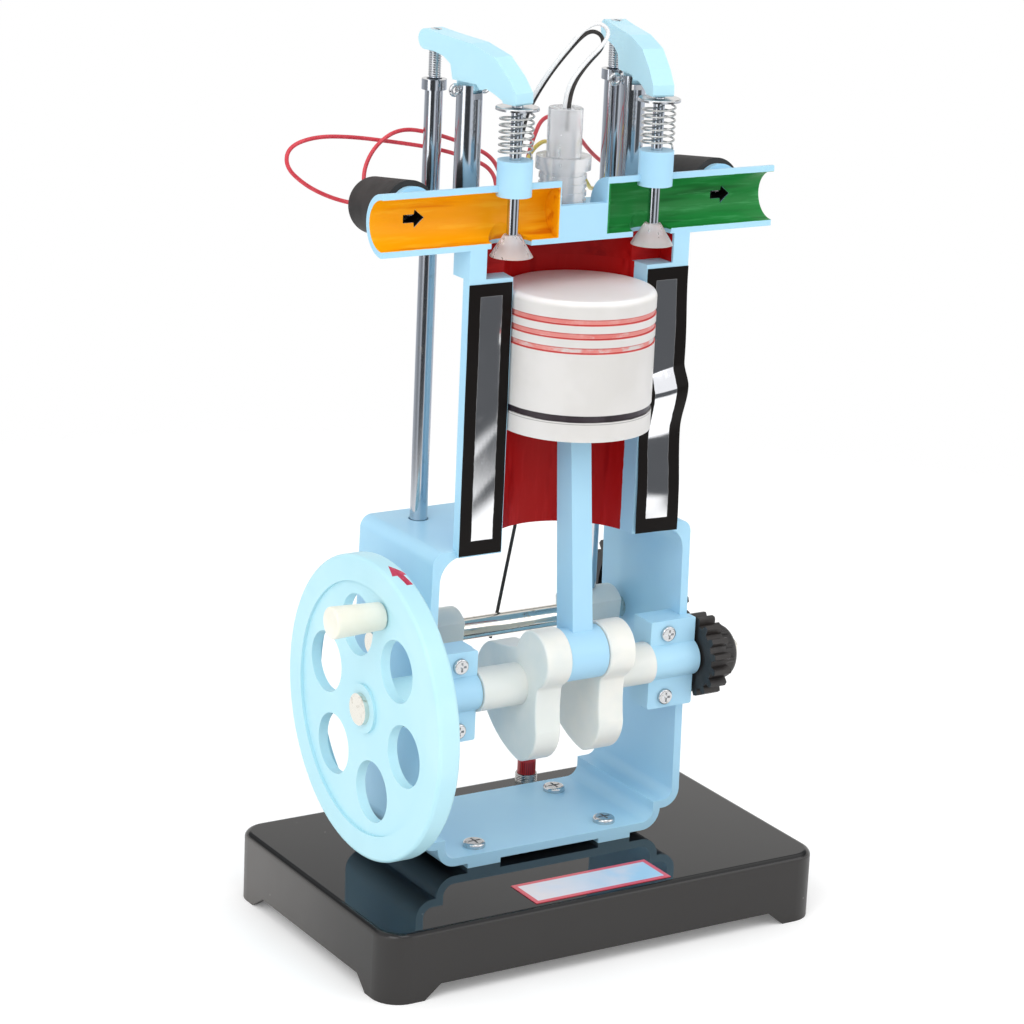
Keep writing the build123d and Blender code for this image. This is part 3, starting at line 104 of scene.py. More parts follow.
def feed(tree, node, values):
    for name, value in values.items():
        socket = node.inputs[name]
        if isinstance(value, bpy.types.NodeSocket):
            tree.links.new(value, socket)
        else:
            socket.default_value = value


def calc(tree, operation, *values, clamp=False):
    return put(tree, "ShaderNodeMath", dict(enumerate(values)), operation=operation, use_clamp=clamp)


def step(tree, value, low, high):
    """0 below low, 1 above high and smooth between them; low may be the higher one."""
    return put(tree, "ShaderNodeMapRange", {"Value": value, "From Min": low, "From Max": high},
               interpolation_type="SMOOTHSTEP")


def blend_colors(tree, share, first, second):
    return put(tree, "ShaderNodeMix", {0: share, 6: first, 7: second}, out=2, data_type="RGBA")


def noise(tree, vector, scale, detail=2.0, roughness=0.5, stretch=None):
    """Noise between 0 and 1 at this many features a metre."""
    if stretch:
        vector = put(tree, "ShaderNodeMapping", {"Vector": vector, "Scale": stretch})
    return put(tree, "ShaderNodeTexNoise",
               {"Vector": vector, "Scale": scale, "Detail": detail, "Roughness": roughness})


def places(tree):
    """Object coordinates of the surface."""
    return put(tree, "ShaderNodeTexCoord", out="Object")


def axes_of(tree, vector):
    return put(tree, "ShaderNodeSeparateXYZ", {0: vector}, out=None).outputs[:3]


def plus(tree, value, amount):
    return calc(tree, "ADD", value, amount)


def minus(tree, value, amount):
    return calc(tree, "SUBTRACT", value, amount)


def times(tree, value, amount):
    return calc(tree, "MULTIPLY", value, amount)


def above(tree, value, limit):
    return calc(tree, "GREATER_THAN", value, limit)


def below(tree, value, limit):
    return calc(tree, "LESS_THAN", value, limit)


def reach(tree, first, second):
    """Distance from an axis, from two coordinates across it."""
    return calc(tree, "SQRT", plus(tree, times(tree, first, first), times(tree, second, second)))


def both(tree, *masks):
    """Product of masks."""
    total = masks[0]
    for mask in masks[1:]:
        total = times(tree, total, mask)
    return total


def either(tree, first, second):
    """The larger of two masks."""
    return calc(tree, "MAXIMUM", first, second)


def strip(tree, level, top, upper, lower):
    """1 between two edges below top, each given by where it is 0 and where it is 1."""
    return both(tree, step(tree, level, top - upper[0], top - upper[1]),
                step(tree, level, top - lower[0], top - lower[1]))


def rgb(red, green, blue):
    return (red, green, blue, 1.0)


def new_group(name, inputs, outputs):
    """Shader node group with named inputs and outputs."""
    tree = bpy.data.node_groups.new(name, "ShaderNodeTree")
    for label, kind in inputs:
        tree.interface.new_socket(name=label, in_out="INPUT", socket_type="NodeSocket" + kind)
    for label, kind in outputs:
        tree.interface.new_socket(name=label, in_out="OUTPUT", socket_type="NodeSocket" + kind)
    start = tree.nodes.new("NodeGroupInput")
    end = tree.nodes.new("NodeGroupOutput")
    return tree, start.outputs, end


SKIN_OUT = (("Color", "Color"), ("Roughness", "Float"), ("Normal", "Vector"))
GRAIN_DEPTH = 0.0004
LINE_DEPTH = 0.0002


def raised(tree, strength, depth, height):
    """Normal of a surface with these heights on it."""
    return put(tree, "ShaderNodeBump", {"Strength": strength, "Distance": depth, "Height": height})


def make_moulded_skin():
    """Moulded plastic: slow clouds of colour, fine grain and faint flow lines."""
    tree, ins, end = new_group("moulded_skin", (
        ("Vector", "Vector"), ("Color", "Color"), ("Cloud Color", "Color"), ("Cloud Scale", "Float"),
        ("Grain Scale", "Float"), ("Grain Height", "Float"), ("Roughness", "Float"), ("Spread", "Float")),
        SKIN_OUT)
    clouds = noise(tree, ins["Vector"], ins["Cloud Scale"], 3.0)
    cloud_share = step(tree, clouds, 0.38, 0.68)
    grain = noise(tree, ins["Vector"], ins["Grain Scale"], 3.0, 0.6)
    flow = noise(tree, ins["Vector"], ins["Cloud Scale"], 4.0, 0.55, stretch=(3.0, 3.0, 0.8))
    height = plus(tree, times(tree, grain, 0.5), flow)
    rough = plus(tree, ins["Roughness"], times(tree, minus(tree, flow, 0.5), ins["Spread"]))
    feed(tree, end, {"Color": blend_colors(tree, cloud_share, ins["Color"], ins["Cloud Color"]),
                     "Roughness": rough, "Normal": raised(tree, ins["Grain Height"], GRAIN_DEPTH, height)})
    return tree


def make_plated_skin():
    """Plated steel: fine drawn lines along one axis and small dull stains."""
    tree, ins, end = new_group("plated_skin", (
        ("Vector", "Vector"), ("Color", "Color"), ("Stain Color", "Color"), ("Lines", "Vector"),
        ("Stain Scale", "Float"), ("Stain Amount", "Float"), ("Line Height", "Float"),
        ("Roughness", "Float")), SKIN_OUT)
    drawn = put(tree, "ShaderNodeVectorMath", {0: ins["Vector"], 1: ins["Lines"]}, operation="MULTIPLY")
    lines = noise(tree, drawn, 1.0, 3.0, 0.6)
    stains = noise(tree, ins["Vector"], ins["Stain Scale"], 5.0, 0.65)
    spots = times(tree, step(tree, stains, 0.56, 0.72), ins["Stain Amount"])
    rough = plus(tree, ins["Roughness"], plus(tree, times(tree, spots, 0.25), times(tree, lines, 0.06)))
    feed(tree, end, {"Color": blend_colors(tree, spots, ins["Color"], ins["Stain Color"]),
                     "Roughness": rough, "Normal": raised(tree, ins["Line Height"], LINE_DEPTH, lines)})
    return tree


def make_brushed_paint():
    """Paint put on by brush: streaks along one axis, thick and thin places, and a wavy edge."""
    tree, ins, end = new_group("brushed_paint", (
        ("Vector", "Vector"), ("Color", "Color"), ("Thin Color", "Color"), ("Thick Color", "Color"),
        ("Stroke", "Vector"), ("Gloss Roughness", "Float")),
        SKIN_OUT + (("Edge", "Float"),))
    along = put(tree, "ShaderNodeVectorMath", {0: ins["Vector"], 1: ins["Stroke"]}, operation="MULTIPLY")
    strokes = noise(tree, along, 1.0, 4.0, 0.6)
    pools = noise(tree, along, 0.45, 2.0)
    thin = step(tree, strokes, 0.5, 0.72)
    thick = step(tree, pools, 0.52, 0.7)
    color = blend_colors(tree, thick, ins["Color"], ins["Thick Color"])
    color = blend_colors(tree, times(tree, thin, 0.75), color, ins["Thin Color"])
    height = plus(tree, strokes, times(tree, pools, 0.6))
    rough = plus(tree, ins["Gloss Roughness"], times(tree, strokes, 0.15))
    edge = minus(tree, noise(tree, ins["Vector"], 420.0, 3.0), 0.5)
    feed(tree, end, {"Color": color, "Roughness": rough, "Edge": edge,
                     "Normal": raised(tree, 0.35, GRAIN_DEPTH, height)})
    return tree


def make_specks():
    """Mask of a few small specks of dust."""
    tree, ins, end = new_group("specks", (("Vector", "Vector"), ("Scale", "Float"), ("Size", "Float")),
                               (("Mask", "Float"),))
    cells = put(tree, "ShaderNodeTexVoronoi", {"Vector": ins["Vector"], "Scale": ins["Scale"]}, out=None)
    lot = calc(tree, "FRACT", times(tree, axes_of(tree, cells.outputs["Color"])[0], 7.0))
    near = step(tree, cells.outputs["Distance"], ins["Size"], 0.0)
    feed(tree, end, {"Mask": times(tree, near, step(tree, lot, 0.82, 0.86))})
    return tree


moulded_skin = make_moulded_skin()
plated_skin = make_plated_skin()
brushed_paint = make_brushed_paint()
specks = make_specks()


def use(tree, group, values):
    """Place a group in a tree and return its outputs."""
    node = tree.nodes.new("ShaderNodeGroup")
    node.node_tree = group
    feed(tree, node, values)
    return node.outputs


def new_surface(name, **plain):
    """Material with plain values on its shader's own sockets; an underscore stands for a space."""
    surface = bpy.data.materials.new(name)
    surface.use_nodes = True
    shader = surface.node_tree.nodes["Principled BSDF"]
    for socket, value in plain.items():
        shader.inputs[socket.replace("_", " ")].default_value = value
    return surface, surface.node_tree, shader


def plastic(tree, vector, color, cloud, cloud_scale, grain_scale, grain_height, roughness, spread):
    """A moulded skin with these values."""
    return use(tree, moulded_skin, {
        "Vector": vector, "Color": color, "Cloud Color": cloud, "Cloud Scale": cloud_scale,
        "Grain Scale": grain_scale, "Grain Height": grain_height, "Roughness": roughness, "Spread": spread})


def brush(tree, vector, paint, stroke, gloss=0.3):
    """A brushed paint, from its colours where it is even, thin and thick."""
    even, thin, thick = (rgb(*color) for color in paint)
    return use(tree, brushed_paint, {
        "Vector": vector, "Color": even, "Thin Color": thin, "Thick Color": thick, "Stroke": stroke,
        "Gloss Roughness": gloss})


def show(tree, shader, skin):
    """Let a shader show what a skin puts out."""
    feed(tree, shader, {
        "Base Color": skin["Color"], "Roughness": skin["Roughness"], "Normal": skin["Normal"]})


def moulded(name, color, cloud, cloud_scale=38.0, grain_scale=2600.0, grain_height=0.06, roughness=0.3,
            spread=0.12, **plain):
    surface, tree, shader = new_surface(name, **plain)
    show(tree, shader, plastic(tree, places(tree), rgb(*color), rgb(*cloud), cloud_scale, grain_scale,
                               grain_height, roughness, spread))
    return surface


def plated(name, color, lines, stain=(0.32, 0.27, 0.2), amount=0.5, roughness=0.1, line_height=0.05,
           stain_scale=260.0):
    surface, tree, shader = new_surface(name, Metallic=1.0)
    show(tree, shader, use(tree, plated_skin, {
        "Vector": places(tree), "Color": rgb(*color), "Stain Color": rgb(*stain), "Lines": lines,
        "Stain Scale": stain_scale, "Stain Amount": amount, "Line Height": line_height,
        "Roughness": roughness}))
    return surface


def opened(surface):
    """A material's tree and shader, with the place on the surface and its three coordinates."""
    tree = surface.node_tree
    spot = places(tree)
    return tree, tree.nodes["Principled BSDF"], spot, axes_of(tree, spot)


# For each input of the shader: the output that feeds it, the kind of mix, and the mix node's sockets
PAINT_LAYERS = (
    ("Base Color", "Color", "RGBA", (6, 7, 2)),
    ("Roughness", "Roughness", "FLOAT", (2, 3, 0)),
    ("Normal", "Normal", "VECTOR", (4, 5, 1)),
)


def paint_over(tree, shader, mask, paint):
    """Lay a paint or skin over what the shader shows where the mask is 1."""
    for socket, output, kind, (first, second, result) in PAINT_LAYERS:
        under = shader.inputs[socket].links[0].from_socket
        mixed = put(tree, "ShaderNodeMix", {0: mask, first: under, second: paint[output]}, out=result,
                    data_type=kind)
        tree.links.new(mixed, shader.inputs[socket])


# Colours of the plastics, each with the colour of its clouds
FRAME_BLUE, FRAME_CLOUD = (0.39, 0.66, 0.85), (0.42, 0.70, 0.87)
WHEEL_BLUE, WHEEL_CLOUD = (0.46, 0.75, 0.84), (0.50, 0.78, 0.86)

# Colours of the paints, where they are even, thin and thick
WHEEL_ARROW = ((0.5, 0.035, 0.09), (0.66, 0.16, 0.22), (0.42, 0.02, 0.06))
BORE_RED = ((0.46, 0.007, 0.007), (0.52, 0.014, 0.014), (0.36, 0.002, 0.003))
CHAMBER_RED = ((0.42, 0.005, 0.005), (0.48, 0.010, 0.010), (0.32, 0.002, 0.003))
PORT_ORANGE = ((0.86, 0.36, 0.002), (0.9, 0.46, 0.02), (0.66, 0.17, 0.002))
PORT_GREEN = ((0.016, 0.22, 0.045), (0.06, 0.34, 0.11), (0.007, 0.12, 0.022))
TUBE_BLACK = ((0.012, 0.011, 0.010), (0.03, 0.028, 0.026), (0.006, 0.005, 0.005))
RING_SALMON = ((0.72, 0.26, 0.235), (0.74, 0.42, 0.39), (0.70, 0.18, 0.16))
RING_RED = ((0.58, 0.055, 0.05), (0.66, 0.16, 0.14), (0.50, 0.03, 0.03))
SKIRT_BLACK = ((0.028, 0.018, 0.024), (0.06, 0.045, 0.055), (0.012, 0.008, 0.01))
# Painted shade of the push button's ribs
CAP_RIB_SHADE = ((0.2, 0.004, 0.006), (0.26, 0.008, 0.01), (0.12, 0.002, 0.004))

# How deep light goes into the plastics
SOFT_DEPTH = dict(Subsurface_Weight=0.12, Subsurface_Radius=(0.004, 0.005, 0.006), Subsurface_Scale=0.35,
                  Specular_IOR_Level=0.3)
DULL_DEPTH = dict(SOFT_DEPTH, Specular_IOR_Level=0.14)
NYLON_DEPTH = dict(Subsurface_Weight=0.3, Subsurface_Radius=(0.006, 0.006, 0.005), Subsurface_Scale=0.5)


def frame_plastic(name="frame_plastic", depth=SOFT_DEPTH):
    return moulded(name, FRAME_BLUE, FRAME_CLOUD, cloud_scale=22.0, grain_height=0.03, roughness=0.36,
                   **depth)


# Arrow on the flywheel's tread: angles in degrees up from the back, sizes in metres
ARROW_START, ARROW_SWEEP = 111.7, 13.7
ARROW_X, ARROW_SLANT = -0.0826, -0.0018
ARROW_SHAFT_HALF = 0.0013
ARROW_HEAD_SHARE = 0.45             # of its length, where the head starts
ARROW_HEAD_SLOPE = 0.0062           # half width of the head for each arrow's length from its tip
TREAD_DEPTH = 0.0016


def wheel_plastic():
    """Lighter blue of the flywheel, with a red arrow on its tread."""
    surface = moulded("wheel_plastic", WHEEL_BLUE, WHEEL_CLOUD, cloud_scale=30.0, roughness=0.34,
                      **SOFT_DEPTH)
    tree, shader, spot, (x, y, z) = opened(surface)
    from_y = minus(tree, y, CUT_Y)
    from_z = minus(tree, z, CRANK_Z)
    angle = calc(tree, "DEGREES", calc(tree, "ARCTAN2", from_z, from_y))
    along = calc(tree, "DIVIDE", minus(tree, ARROW_START, angle), ARROW_SWEEP)
    middle = plus(tree, ARROW_X, times(tree, along, ARROW_SLANT))
    off = calc(tree, "ABSOLUTE", minus(tree, x, middle))
    head = times(tree, minus(tree, 1.0, along), ARROW_HEAD_SLOPE)
    half = put(tree, "ShaderNodeMix",
               {0: above(tree, along, ARROW_HEAD_SHARE), 2: ARROW_SHAFT_HALF, 3: head})
    ends = both(tree, above(tree, along, 0.0), below(tree, along, 1.0))
    tread = above(tree, reach(tree, from_y, from_z), WHEEL_RADIUS - TREAD_DEPTH)
    paint = brush(tree, spot, WHEEL_ARROW, (900.0, 300.0, 300.0), 0.35)
    paint_over(tree, shader, both(tree, below(tree, off, half), ends, tread), paint)
    return surface


BORE_LAP = 0.0002           # how far past its radius the bore still counts as painted
BARE_BAND = 0.0075          # unpainted at the front of the bore
BARE_WAVE = 0.0006


def block_plastic():
    """Blue plastic with the bore painted red up to a bare band near its front edge."""
    surface = frame_plastic("block_plastic", DULL_DEPTH)
    tree, shader, spot, (x, y, z) = opened(surface)
    paint = brush(tree, spot, BORE_RED, (420.0, 420.0, 60.0))
    bore = below(tree, reach(tree, x, minus(tree, y, CUT_Y)), BORE + BORE_LAP)
    bare = plus(tree, CUT_Y + BARE_BAND, times(tree, paint["Edge"], BARE_WAVE))
    paint_over(tree, shader, both(tree, bore, above(tree, y, bare)), paint)
    return surface


PAINT_LAP = 0.0001          # how far past an edge its paint goes
WALL_LAP = 0.00005          # and past the roof and the side walls of the chamber
CHAMBER_BARE, CHAMBER_WAVE = 0.0012, 0.001
PORT_WAVE = 0.00025
PORT_START = 0.0108         # inner end of the paint in the ports
SEAT_LOW = 0.2786
TUBE_RADIUS = 0.0062
TUBE_START = 0.0088         # behind the cut
TUBE_CLEAR = 0.0099         # from the port's axis


def head_plastic():
    """Blue plastic with the chamber painted red, the left port orange and the right port green."""
    surface = frame_plastic("head_plastic", DULL_DEPTH)
    tree, shader, spot, (x, y, z) = opened(surface)
    width = calc(tree, "ABSOLUTE", x)
    from_y = minus(tree, y, CUT_Y)
    from_port = minus(tree, z, PORT_Z)
    red = brush(tree, spot, CHAMBER_RED, (70.0, 420.0, 420.0))
    depth = plus(tree, CHAMBER_BARE, times(tree, red["Edge"], CHAMBER_WAVE))
    room = either(tree, below(tree, from_y, POCKET_DEPTH + PAINT_LAP),
                  below(tree, reach(tree, x, from_y), BORE + BORE_LAP))
    chamber = both(tree, below(tree, z, ROOF_Z + WALL_LAP), below(tree, width, CHAMBER_HALF + WALL_LAP),
                   above(tree, from_y, depth), room)
    paint_over(tree, shader, chamber, red)
    ring = reach(tree, from_y, from_port)
    inner = below(tree, ring, plus(tree, PORT_BORE + PAINT_LAP, times(tree, red["Edge"], PORT_WAVE)))
    guide = reach(tree, minus(tree, width, VALVE_X), from_y)
    open_room = either(tree, above(tree, guide, GUIDE_RADIUS + PAINT_LAP), below(tree, z, GUIDE_LOW))
    port = both(tree, inner, open_room, above(tree, width, PORT_START))
    seat = both(tree, below(tree, guide, SEAT_RADIUS + PAINT_LAP), below(tree, z, PORT_Z),
                above(tree, z, SEAT_LOW))
    port = either(tree, port, seat)
    for side, paint in ((below(tree, x, 0.0), PORT_ORANGE), (above(tree, x, 0.0), PORT_GREEN)):
        paint_over(tree, shader, both(tree, port, side),
                   brush(tree, spot, paint, (45.0, 420.0, 420.0), 0.28))
    tube = below(tree, reach(tree, minus(tree, width, LAMP_X), from_port), TUBE_RADIUS)
    tube = both(tree, tube, above(tree, from_y, TUBE_START), above(tree, ring, TUBE_CLEAR))
    paint_over(tree, shader, tube, brush(tree, spot, TUBE_BLACK, (300.0, 300.0, 300.0), 0.4))
    return surface


def nylon(name="nylon", color=(0.73, 0.76, 0.735), cloud=(0.82, 0.815, 0.765)):
    return moulded(name, color, cloud, cloud_scale=45.0, grain_scale=1800.0, grain_height=0.1,
                   roughness=0.36, **NYLON_DEPTH)


# Paint on the piston. Each ring has its distance below the crown and how much of its paint is worn off.
# Each strip has its upper and its lower edge, below the top of its ring or of the skirt's band:
# where the paint starts, and where it is full.
# Painted light on the crown: where the lighter top starts below the top of the piston, and where it is full
CROWN_LIGHT_EDGE = (0.0022, 0.0003)
RINGS = ((0.0065, 0.30), (0.0118, 0.42), (0.0173, 0.5))
RING_BAND = ((0.0, 0.0002), (0.0021, 0.0018))
RING_UPPER_LINE = ((-0.0001, 0.0001), (0.0006, 0.0004))
RING_LOWER_LINE = ((0.0018, 0.0020), (0.0026, 0.0023))
SKIRT_DROP = 0.0435
SKIRT_BAND = ((-0.0002, 0.0001), (0.0027, 0.0024))
# Edges of a faint painted shadow below the skirt's black band
SKIRT_SHADE = ((0.0030, 0.0031), (0.0035, 0.0034))
PAINT_WOBBLE = 0.0007


def piston_nylon():
    """Nylon, its crown painted lighter as painted light, with salmon red paint in the ring grooves and a
    black band low on the skirt.
    """
    surface = nylon("piston_nylon", (0.64, 0.625, 0.605), (0.69, 0.675, 0.66))
    tree, shader, spot, (x, y, z) = opened(surface)
    # Painted light: the top of the crown gets a lighter copy of the nylon
    lit_crown = plastic(tree, spot, rgb(0.88, 0.86, 0.85), rgb(0.92, 0.90, 0.90), 45.0, 1800.0, 0.1, 0.34, 0.1)
    paint_over(tree, shader, step(tree, z, *(PISTON_TOP - drop for drop in CROWN_LIGHT_EDGE)), lit_crown)
    angle = calc(tree, "ARCTAN2", minus(tree, y, CUT_Y), x)
    turn = put(tree, "ShaderNodeCombineXYZ", {0: angle, 2: times(tree, z, 60.0)})
    wear = noise(tree, turn, 3.2, 4.0, 0.6)
    wobble = times(tree, minus(tree, noise(tree, turn, 2.2, 2.0), 0.5), PAINT_WOBBLE)
    level = plus(tree, z, wobble)
    salmon = brush(tree, turn, RING_SALMON, (3.0, 3.0, 2.0), 0.35)
    line_red = brush(tree, turn, RING_RED, (3.0, 3.0, 2.0), 0.35)
    for drop, worn in RINGS:
        top = PISTON_TOP - drop
        gap = step(tree, wear, worn - 0.14, worn + 0.06)
        paint_over(tree, shader, both(tree, strip(tree, level, top, *RING_BAND), gap), salmon)
        upper = strip(tree, z, top, *RING_UPPER_LINE)
        lower = strip(tree, z, top, *RING_LOWER_LINE)
        lines = either(tree, times(tree, upper, 0.7), lower)
        paint_over(tree, shader, both(tree, lines, step(tree, wear, worn - 0.30, worn - 0.12)), line_red)
    black = brush(tree, turn, SKIRT_BLACK, (5.0, 5.0, 2.0), 0.25)
    top = PISTON_TOP - SKIRT_DROP
    band = strip(tree, level, top, *SKIRT_BAND)
    # A faint painted shadow just below the skirt's black band, in the same black paint
    shade = strip(tree, z, top, *SKIRT_SHADE)
    paint_over(tree, shader, either(tree, band, times(tree, shade, 0.4)), black)
    return surface


# The left side of the base is painted greyer from front to back
GREY_FRONT, GREY_BACK = -0.062, 0.045


def base_plastic():
    """Glossy black: polished on top, a little duller and greyer on the sides, with the left side painted
    greyer towards the back, and dust.
    """
    surface, tree, shader = new_surface("base_plastic", Specular_IOR_Level=0.42)
    spot = places(tree)
    facing = axes_of(tree, put(tree, "ShaderNodeNewGeometry", out="Normal"))
    top = step(tree, facing[2], 0.25, 0.85)
    side = plastic(tree, spot, rgb(0.085, 0.080, 0.076), rgb(0.105, 0.099, 0.094), 14.0, 3200.0, 0.08,
                   0.42, 0.12)
    polish = plastic(tree, spot, rgb(0.004, 0.004, 0.0045), rgb(0.006, 0.006, 0.006), 18.0, 3200.0, 0.006,
                     0.045, 0.03)
    dust = use(tree, specks, {"Vector": spot, "Scale": 150.0, "Size": 0.085})["Mask"]
    y = axes_of(tree, spot)[1]
    # The left-facing sides are painted greyer towards the back
    grey_left = both(tree, step(tree, facing[0], -0.4, -0.95), step(tree, y, GREY_FRONT, GREY_BACK))
    sides = blend_colors(tree, grey_left, rgb(0.020, 0.018, 0.017), side["Color"])
    color = blend_colors(tree, top, sides, polish["Color"])
    color = blend_colors(tree, times(tree, dust, 0.55), color, rgb(0.42, 0.41, 0.4))
    rough = put(tree, "ShaderNodeMix", {0: top, 2: side["Roughness"], 3: polish["Roughness"]})
    normal = put(tree, "ShaderNodeMix", {0: top, 4: side["Normal"], 5: polish["Normal"]}, out=1,
                 data_type="VECTOR")
    feed(tree, shader, {"Base Color": color, "Roughness": rough, "Normal": normal})
    return surface


# Half sizes of the label's field, where its border is full and where it ends, and the field's fade along X
FIELD_HALF_LENGTH = (0.0292, 0.029)
FIELD_HALF_WIDTH = (0.0077, 0.0075)
FADE_START, FADE_END = -0.026, 0.018


def label_film():
    """Bare label: a red border around a field that goes from pinkish white to pale blue."""
    surface, tree, shader = new_surface("label_film", Coat_Weight=0.6, Coat_Roughness=0.08)
    spot = places(tree)
    x, y, z = axes_of(tree, spot)
    off_x = calc(tree, "ABSOLUTE", minus(tree, x, LABEL_X))
    off_y = calc(tree, "ABSOLUTE", minus(tree, y, LABEL_Y))
    field = both(tree, step(tree, off_x, *FIELD_HALF_LENGTH), step(tree, off_y, *FIELD_HALF_WIDTH))
    fade = blend_colors(tree, step(tree, x, FADE_START, FADE_END), rgb(0.74, 0.70, 0.74),
                        rgb(0.36, 0.62, 0.84))
    skin = plastic(tree, spot, fade, rgb(0.62, 0.68, 0.8), 60.0, 2400.0, 0.05, 0.3, 0.1)
    color = blend_colors(tree, field, rgb(0.68, 0.05, 0.085), skin["Color"])
    feed(tree, shader, {"Base Color": color, "Roughness": skin["Roughness"], "Normal": skin["Normal"]})
    return surface


# Bright window of the mirror films: widths of the black border, and its blurred, ragged edge
BORDER_INNER, BORDER_OUTER = 0.0042, 0.0050
BORDER_LOW, BORDER_HIGH = 0.0057, 0.0048
BORDER_BLUR = 0.0001
BORDER_RAGGED = 0.0007


def film_mirror():
    """Mirror film with a hand-cut black border."""
    surface, tree, shader = new_surface("film_mirror", Specular_IOR_Level=0.12)
    spot = places(tree)
    x, y, z = axes_of(tree, spot)
    ragged = times(tree, minus(tree, noise(tree, spot, 260.0, 4.0, 0.6), 0.5), BORDER_RAGGED)
    width = plus(tree, calc(tree, "ABSOLUTE", x), ragged)
    level = plus(tree, z, times(tree, ragged, 0.5))
    edges = (
        (width, FILM_INNER + BORDER_INNER, BORDER_BLUR), (width, FILM_OUTER - BORDER_OUTER, -BORDER_BLUR),
        (level, FILM_LOW + BORDER_LOW, BORDER_BLUR), (level, FILM_HIGH - BORDER_HIGH, -BORDER_BLUR))
    window = both(tree, *(step(tree, value, edge - blur, edge + blur) for value, edge, blur in edges))
    scuffs = use(tree, specks, {"Vector": spot, "Scale": 420.0, "Size": 0.12})["Mask"]
    skin = use(tree, plated_skin, {
        "Vector": spot, "Color": rgb(0.86, 0.87, 0.89), "Stain Color": rgb(0.62, 0.63, 0.65),
        "Lines": (260.0, 260.0, 40.0), "Stain Scale": 90.0, "Stain Amount": 0.35, "Line Height": 0.1,
        "Roughness": 0.05})
    color = blend_colors(tree, scuffs, skin["Color"], rgb(0.95, 0.95, 0.95))
    color = blend_colors(tree, window, rgb(0.006, 0.0045, 0.004), color)
    rough = put(tree, "ShaderNodeMix", {0: window, 2: 0.38, 3: skin["Roughness"]})
    feed(tree, shader, {
        "Base Color": color, "Metallic": window, "Roughness": rough, "Normal": skin["Normal"]})
    return surface


MILK = 0.94                 # how bright the clouds in clear plastic are


def clear_plastic(name, color, roughness, weight):
    """Clear plastic, slightly milky, with flow lines from the mould."""
    surface, tree, shader = new_surface(name, Transmission_Weight=weight, IOR=1.46, Specular_IOR_Level=0.4)
    cloud = rgb(*(MILK * value for value in color))
    show(tree, shader, plastic(tree, places(tree), rgb(*color), cloud, 120.0, 1500.0, 0.12, roughness, 0.2))
    return surface


CAP_RIBS = 26.0
CAP_SIDE_TOP = 0.0395


def cap_red():
    """Red push button with painted shade in fine ribs around its side."""
    surface = moulded("cap_red", (0.42, 0.012, 0.014), (0.5, 0.02, 0.02), cloud_scale=120.0, roughness=0.3)
    tree, shader, spot, (x, y, z) = opened(surface)
    angle = calc(tree, "ARCTAN2", minus(tree, y, SWITCH_Y), minus(tree, x, SWITCH_X))
    ribs = calc(tree, "SINE", times(tree, angle, CAP_RIBS))
    # Painted shade: darker red bands between the ribs
    dark = brush(tree, spot, CAP_RIB_SHADE, (400.0, 400.0, 100.0), 0.35)
    paint_over(tree, shader, both(tree, step(tree, ribs, 0.2, 0.7), below(tree, z, CAP_SIDE_TOP)), dark)
    return surface


def wire_cover(name, color, cloud):
    return moulded(name, color, cloud, cloud_scale=160.0, grain_scale=3000.0, grain_height=0.05,
                   roughness=0.38, spread=0.1)


NICKEL = (0.56, 0.585, 0.62)
finishes = {
    "frame": frame_plastic(),
    "wheel": wheel_plastic(),
    "block": block_plastic(),
    "head": head_plastic(),
    "rocker": moulded("rocker_plastic", (0.47, 0.76, 0.88), (0.50, 0.79, 0.90), cloud_scale=30.0,
                      roughness=0.3, **SOFT_DEPTH),
    "nylon": nylon(),
    "piston": piston_nylon(),
    "ivory": moulded("ivory_plastic", (0.80, 0.79, 0.68), (0.86, 0.85, 0.76), cloud_scale=60.0,
                     grain_height=0.1, roughness=0.36, **NYLON_DEPTH),
    "base": base_plastic(),
    "label": label_film(),
    "film": film_mirror(),
    "plug": clear_plastic("plug_plastic", (0.96, 0.96, 0.97), 0.24, 0.72),
    "valve": clear_plastic("valve_plastic", (0.96, 0.91, 0.90), 0.3, 0.72),
    "lamp": clear_plastic("lamp_glass", (0.97, 0.97, 0.98), 0.08, 0.9),
    "rod": plated("rod_nickel", NICKEL, (900.0, 900.0, 12.0), amount=0.3, roughness=0.09),
    "shaft": plated("shaft_nickel", (0.76, 0.735, 0.67), (12.0, 900.0, 900.0), amount=0.65, roughness=0.11),
    "screw": plated("screw_nickel", (0.6, 0.61, 0.62), (420.0, 420.0, 420.0), amount=0.6, roughness=0.14,
                    stain_scale=700.0),
    "spring": plated("spring_wire", (0.52, 0.53, 0.52), (60.0, 60.0, 60.0), amount=0.35, roughness=0.16),
    "collar": plated("collar_nickel", (0.55, 0.55, 0.54), (300.0, 300.0, 300.0), amount=0.7, roughness=0.16,
                     stain=(0.25, 0.2, 0.15), stain_scale=500.0),
    "gear": moulded("gear_plastic", (0.013, 0.011, 0.0105), (0.024, 0.020, 0.018), cloud_scale=90.0,
                    grain_scale=1500.0, grain_height=0.25, roughness=0.48, spread=0.25),
    "rubber": moulded("sleeve_rubber", (0.014, 0.012, 0.011), (0.026, 0.022, 0.021), cloud_scale=70.0,
                      grain_scale=1900.0, grain_height=0.35, roughness=0.62, spread=0.2),
    "button": cap_red(),
    "battery": moulded("battery_wrap", (0.16, 0.17, 0.2), (0.24, 0.25, 0.28), roughness=0.35),
    "red": wire_cover("red_cover", (0.60, 0.035, 0.055), (0.68, 0.06, 0.08)),
    "yellow": wire_cover("yellow_cover", (0.7, 0.52, 0.10), (0.78, 0.6, 0.16)),
    "white": wire_cover("white_cover", (0.78, 0.78, 0.79), (0.86, 0.86, 0.86)),
    "black": wire_cover("black_cover", (0.018, 0.015, 0.013), (0.034, 0.028, 0.024)),
}

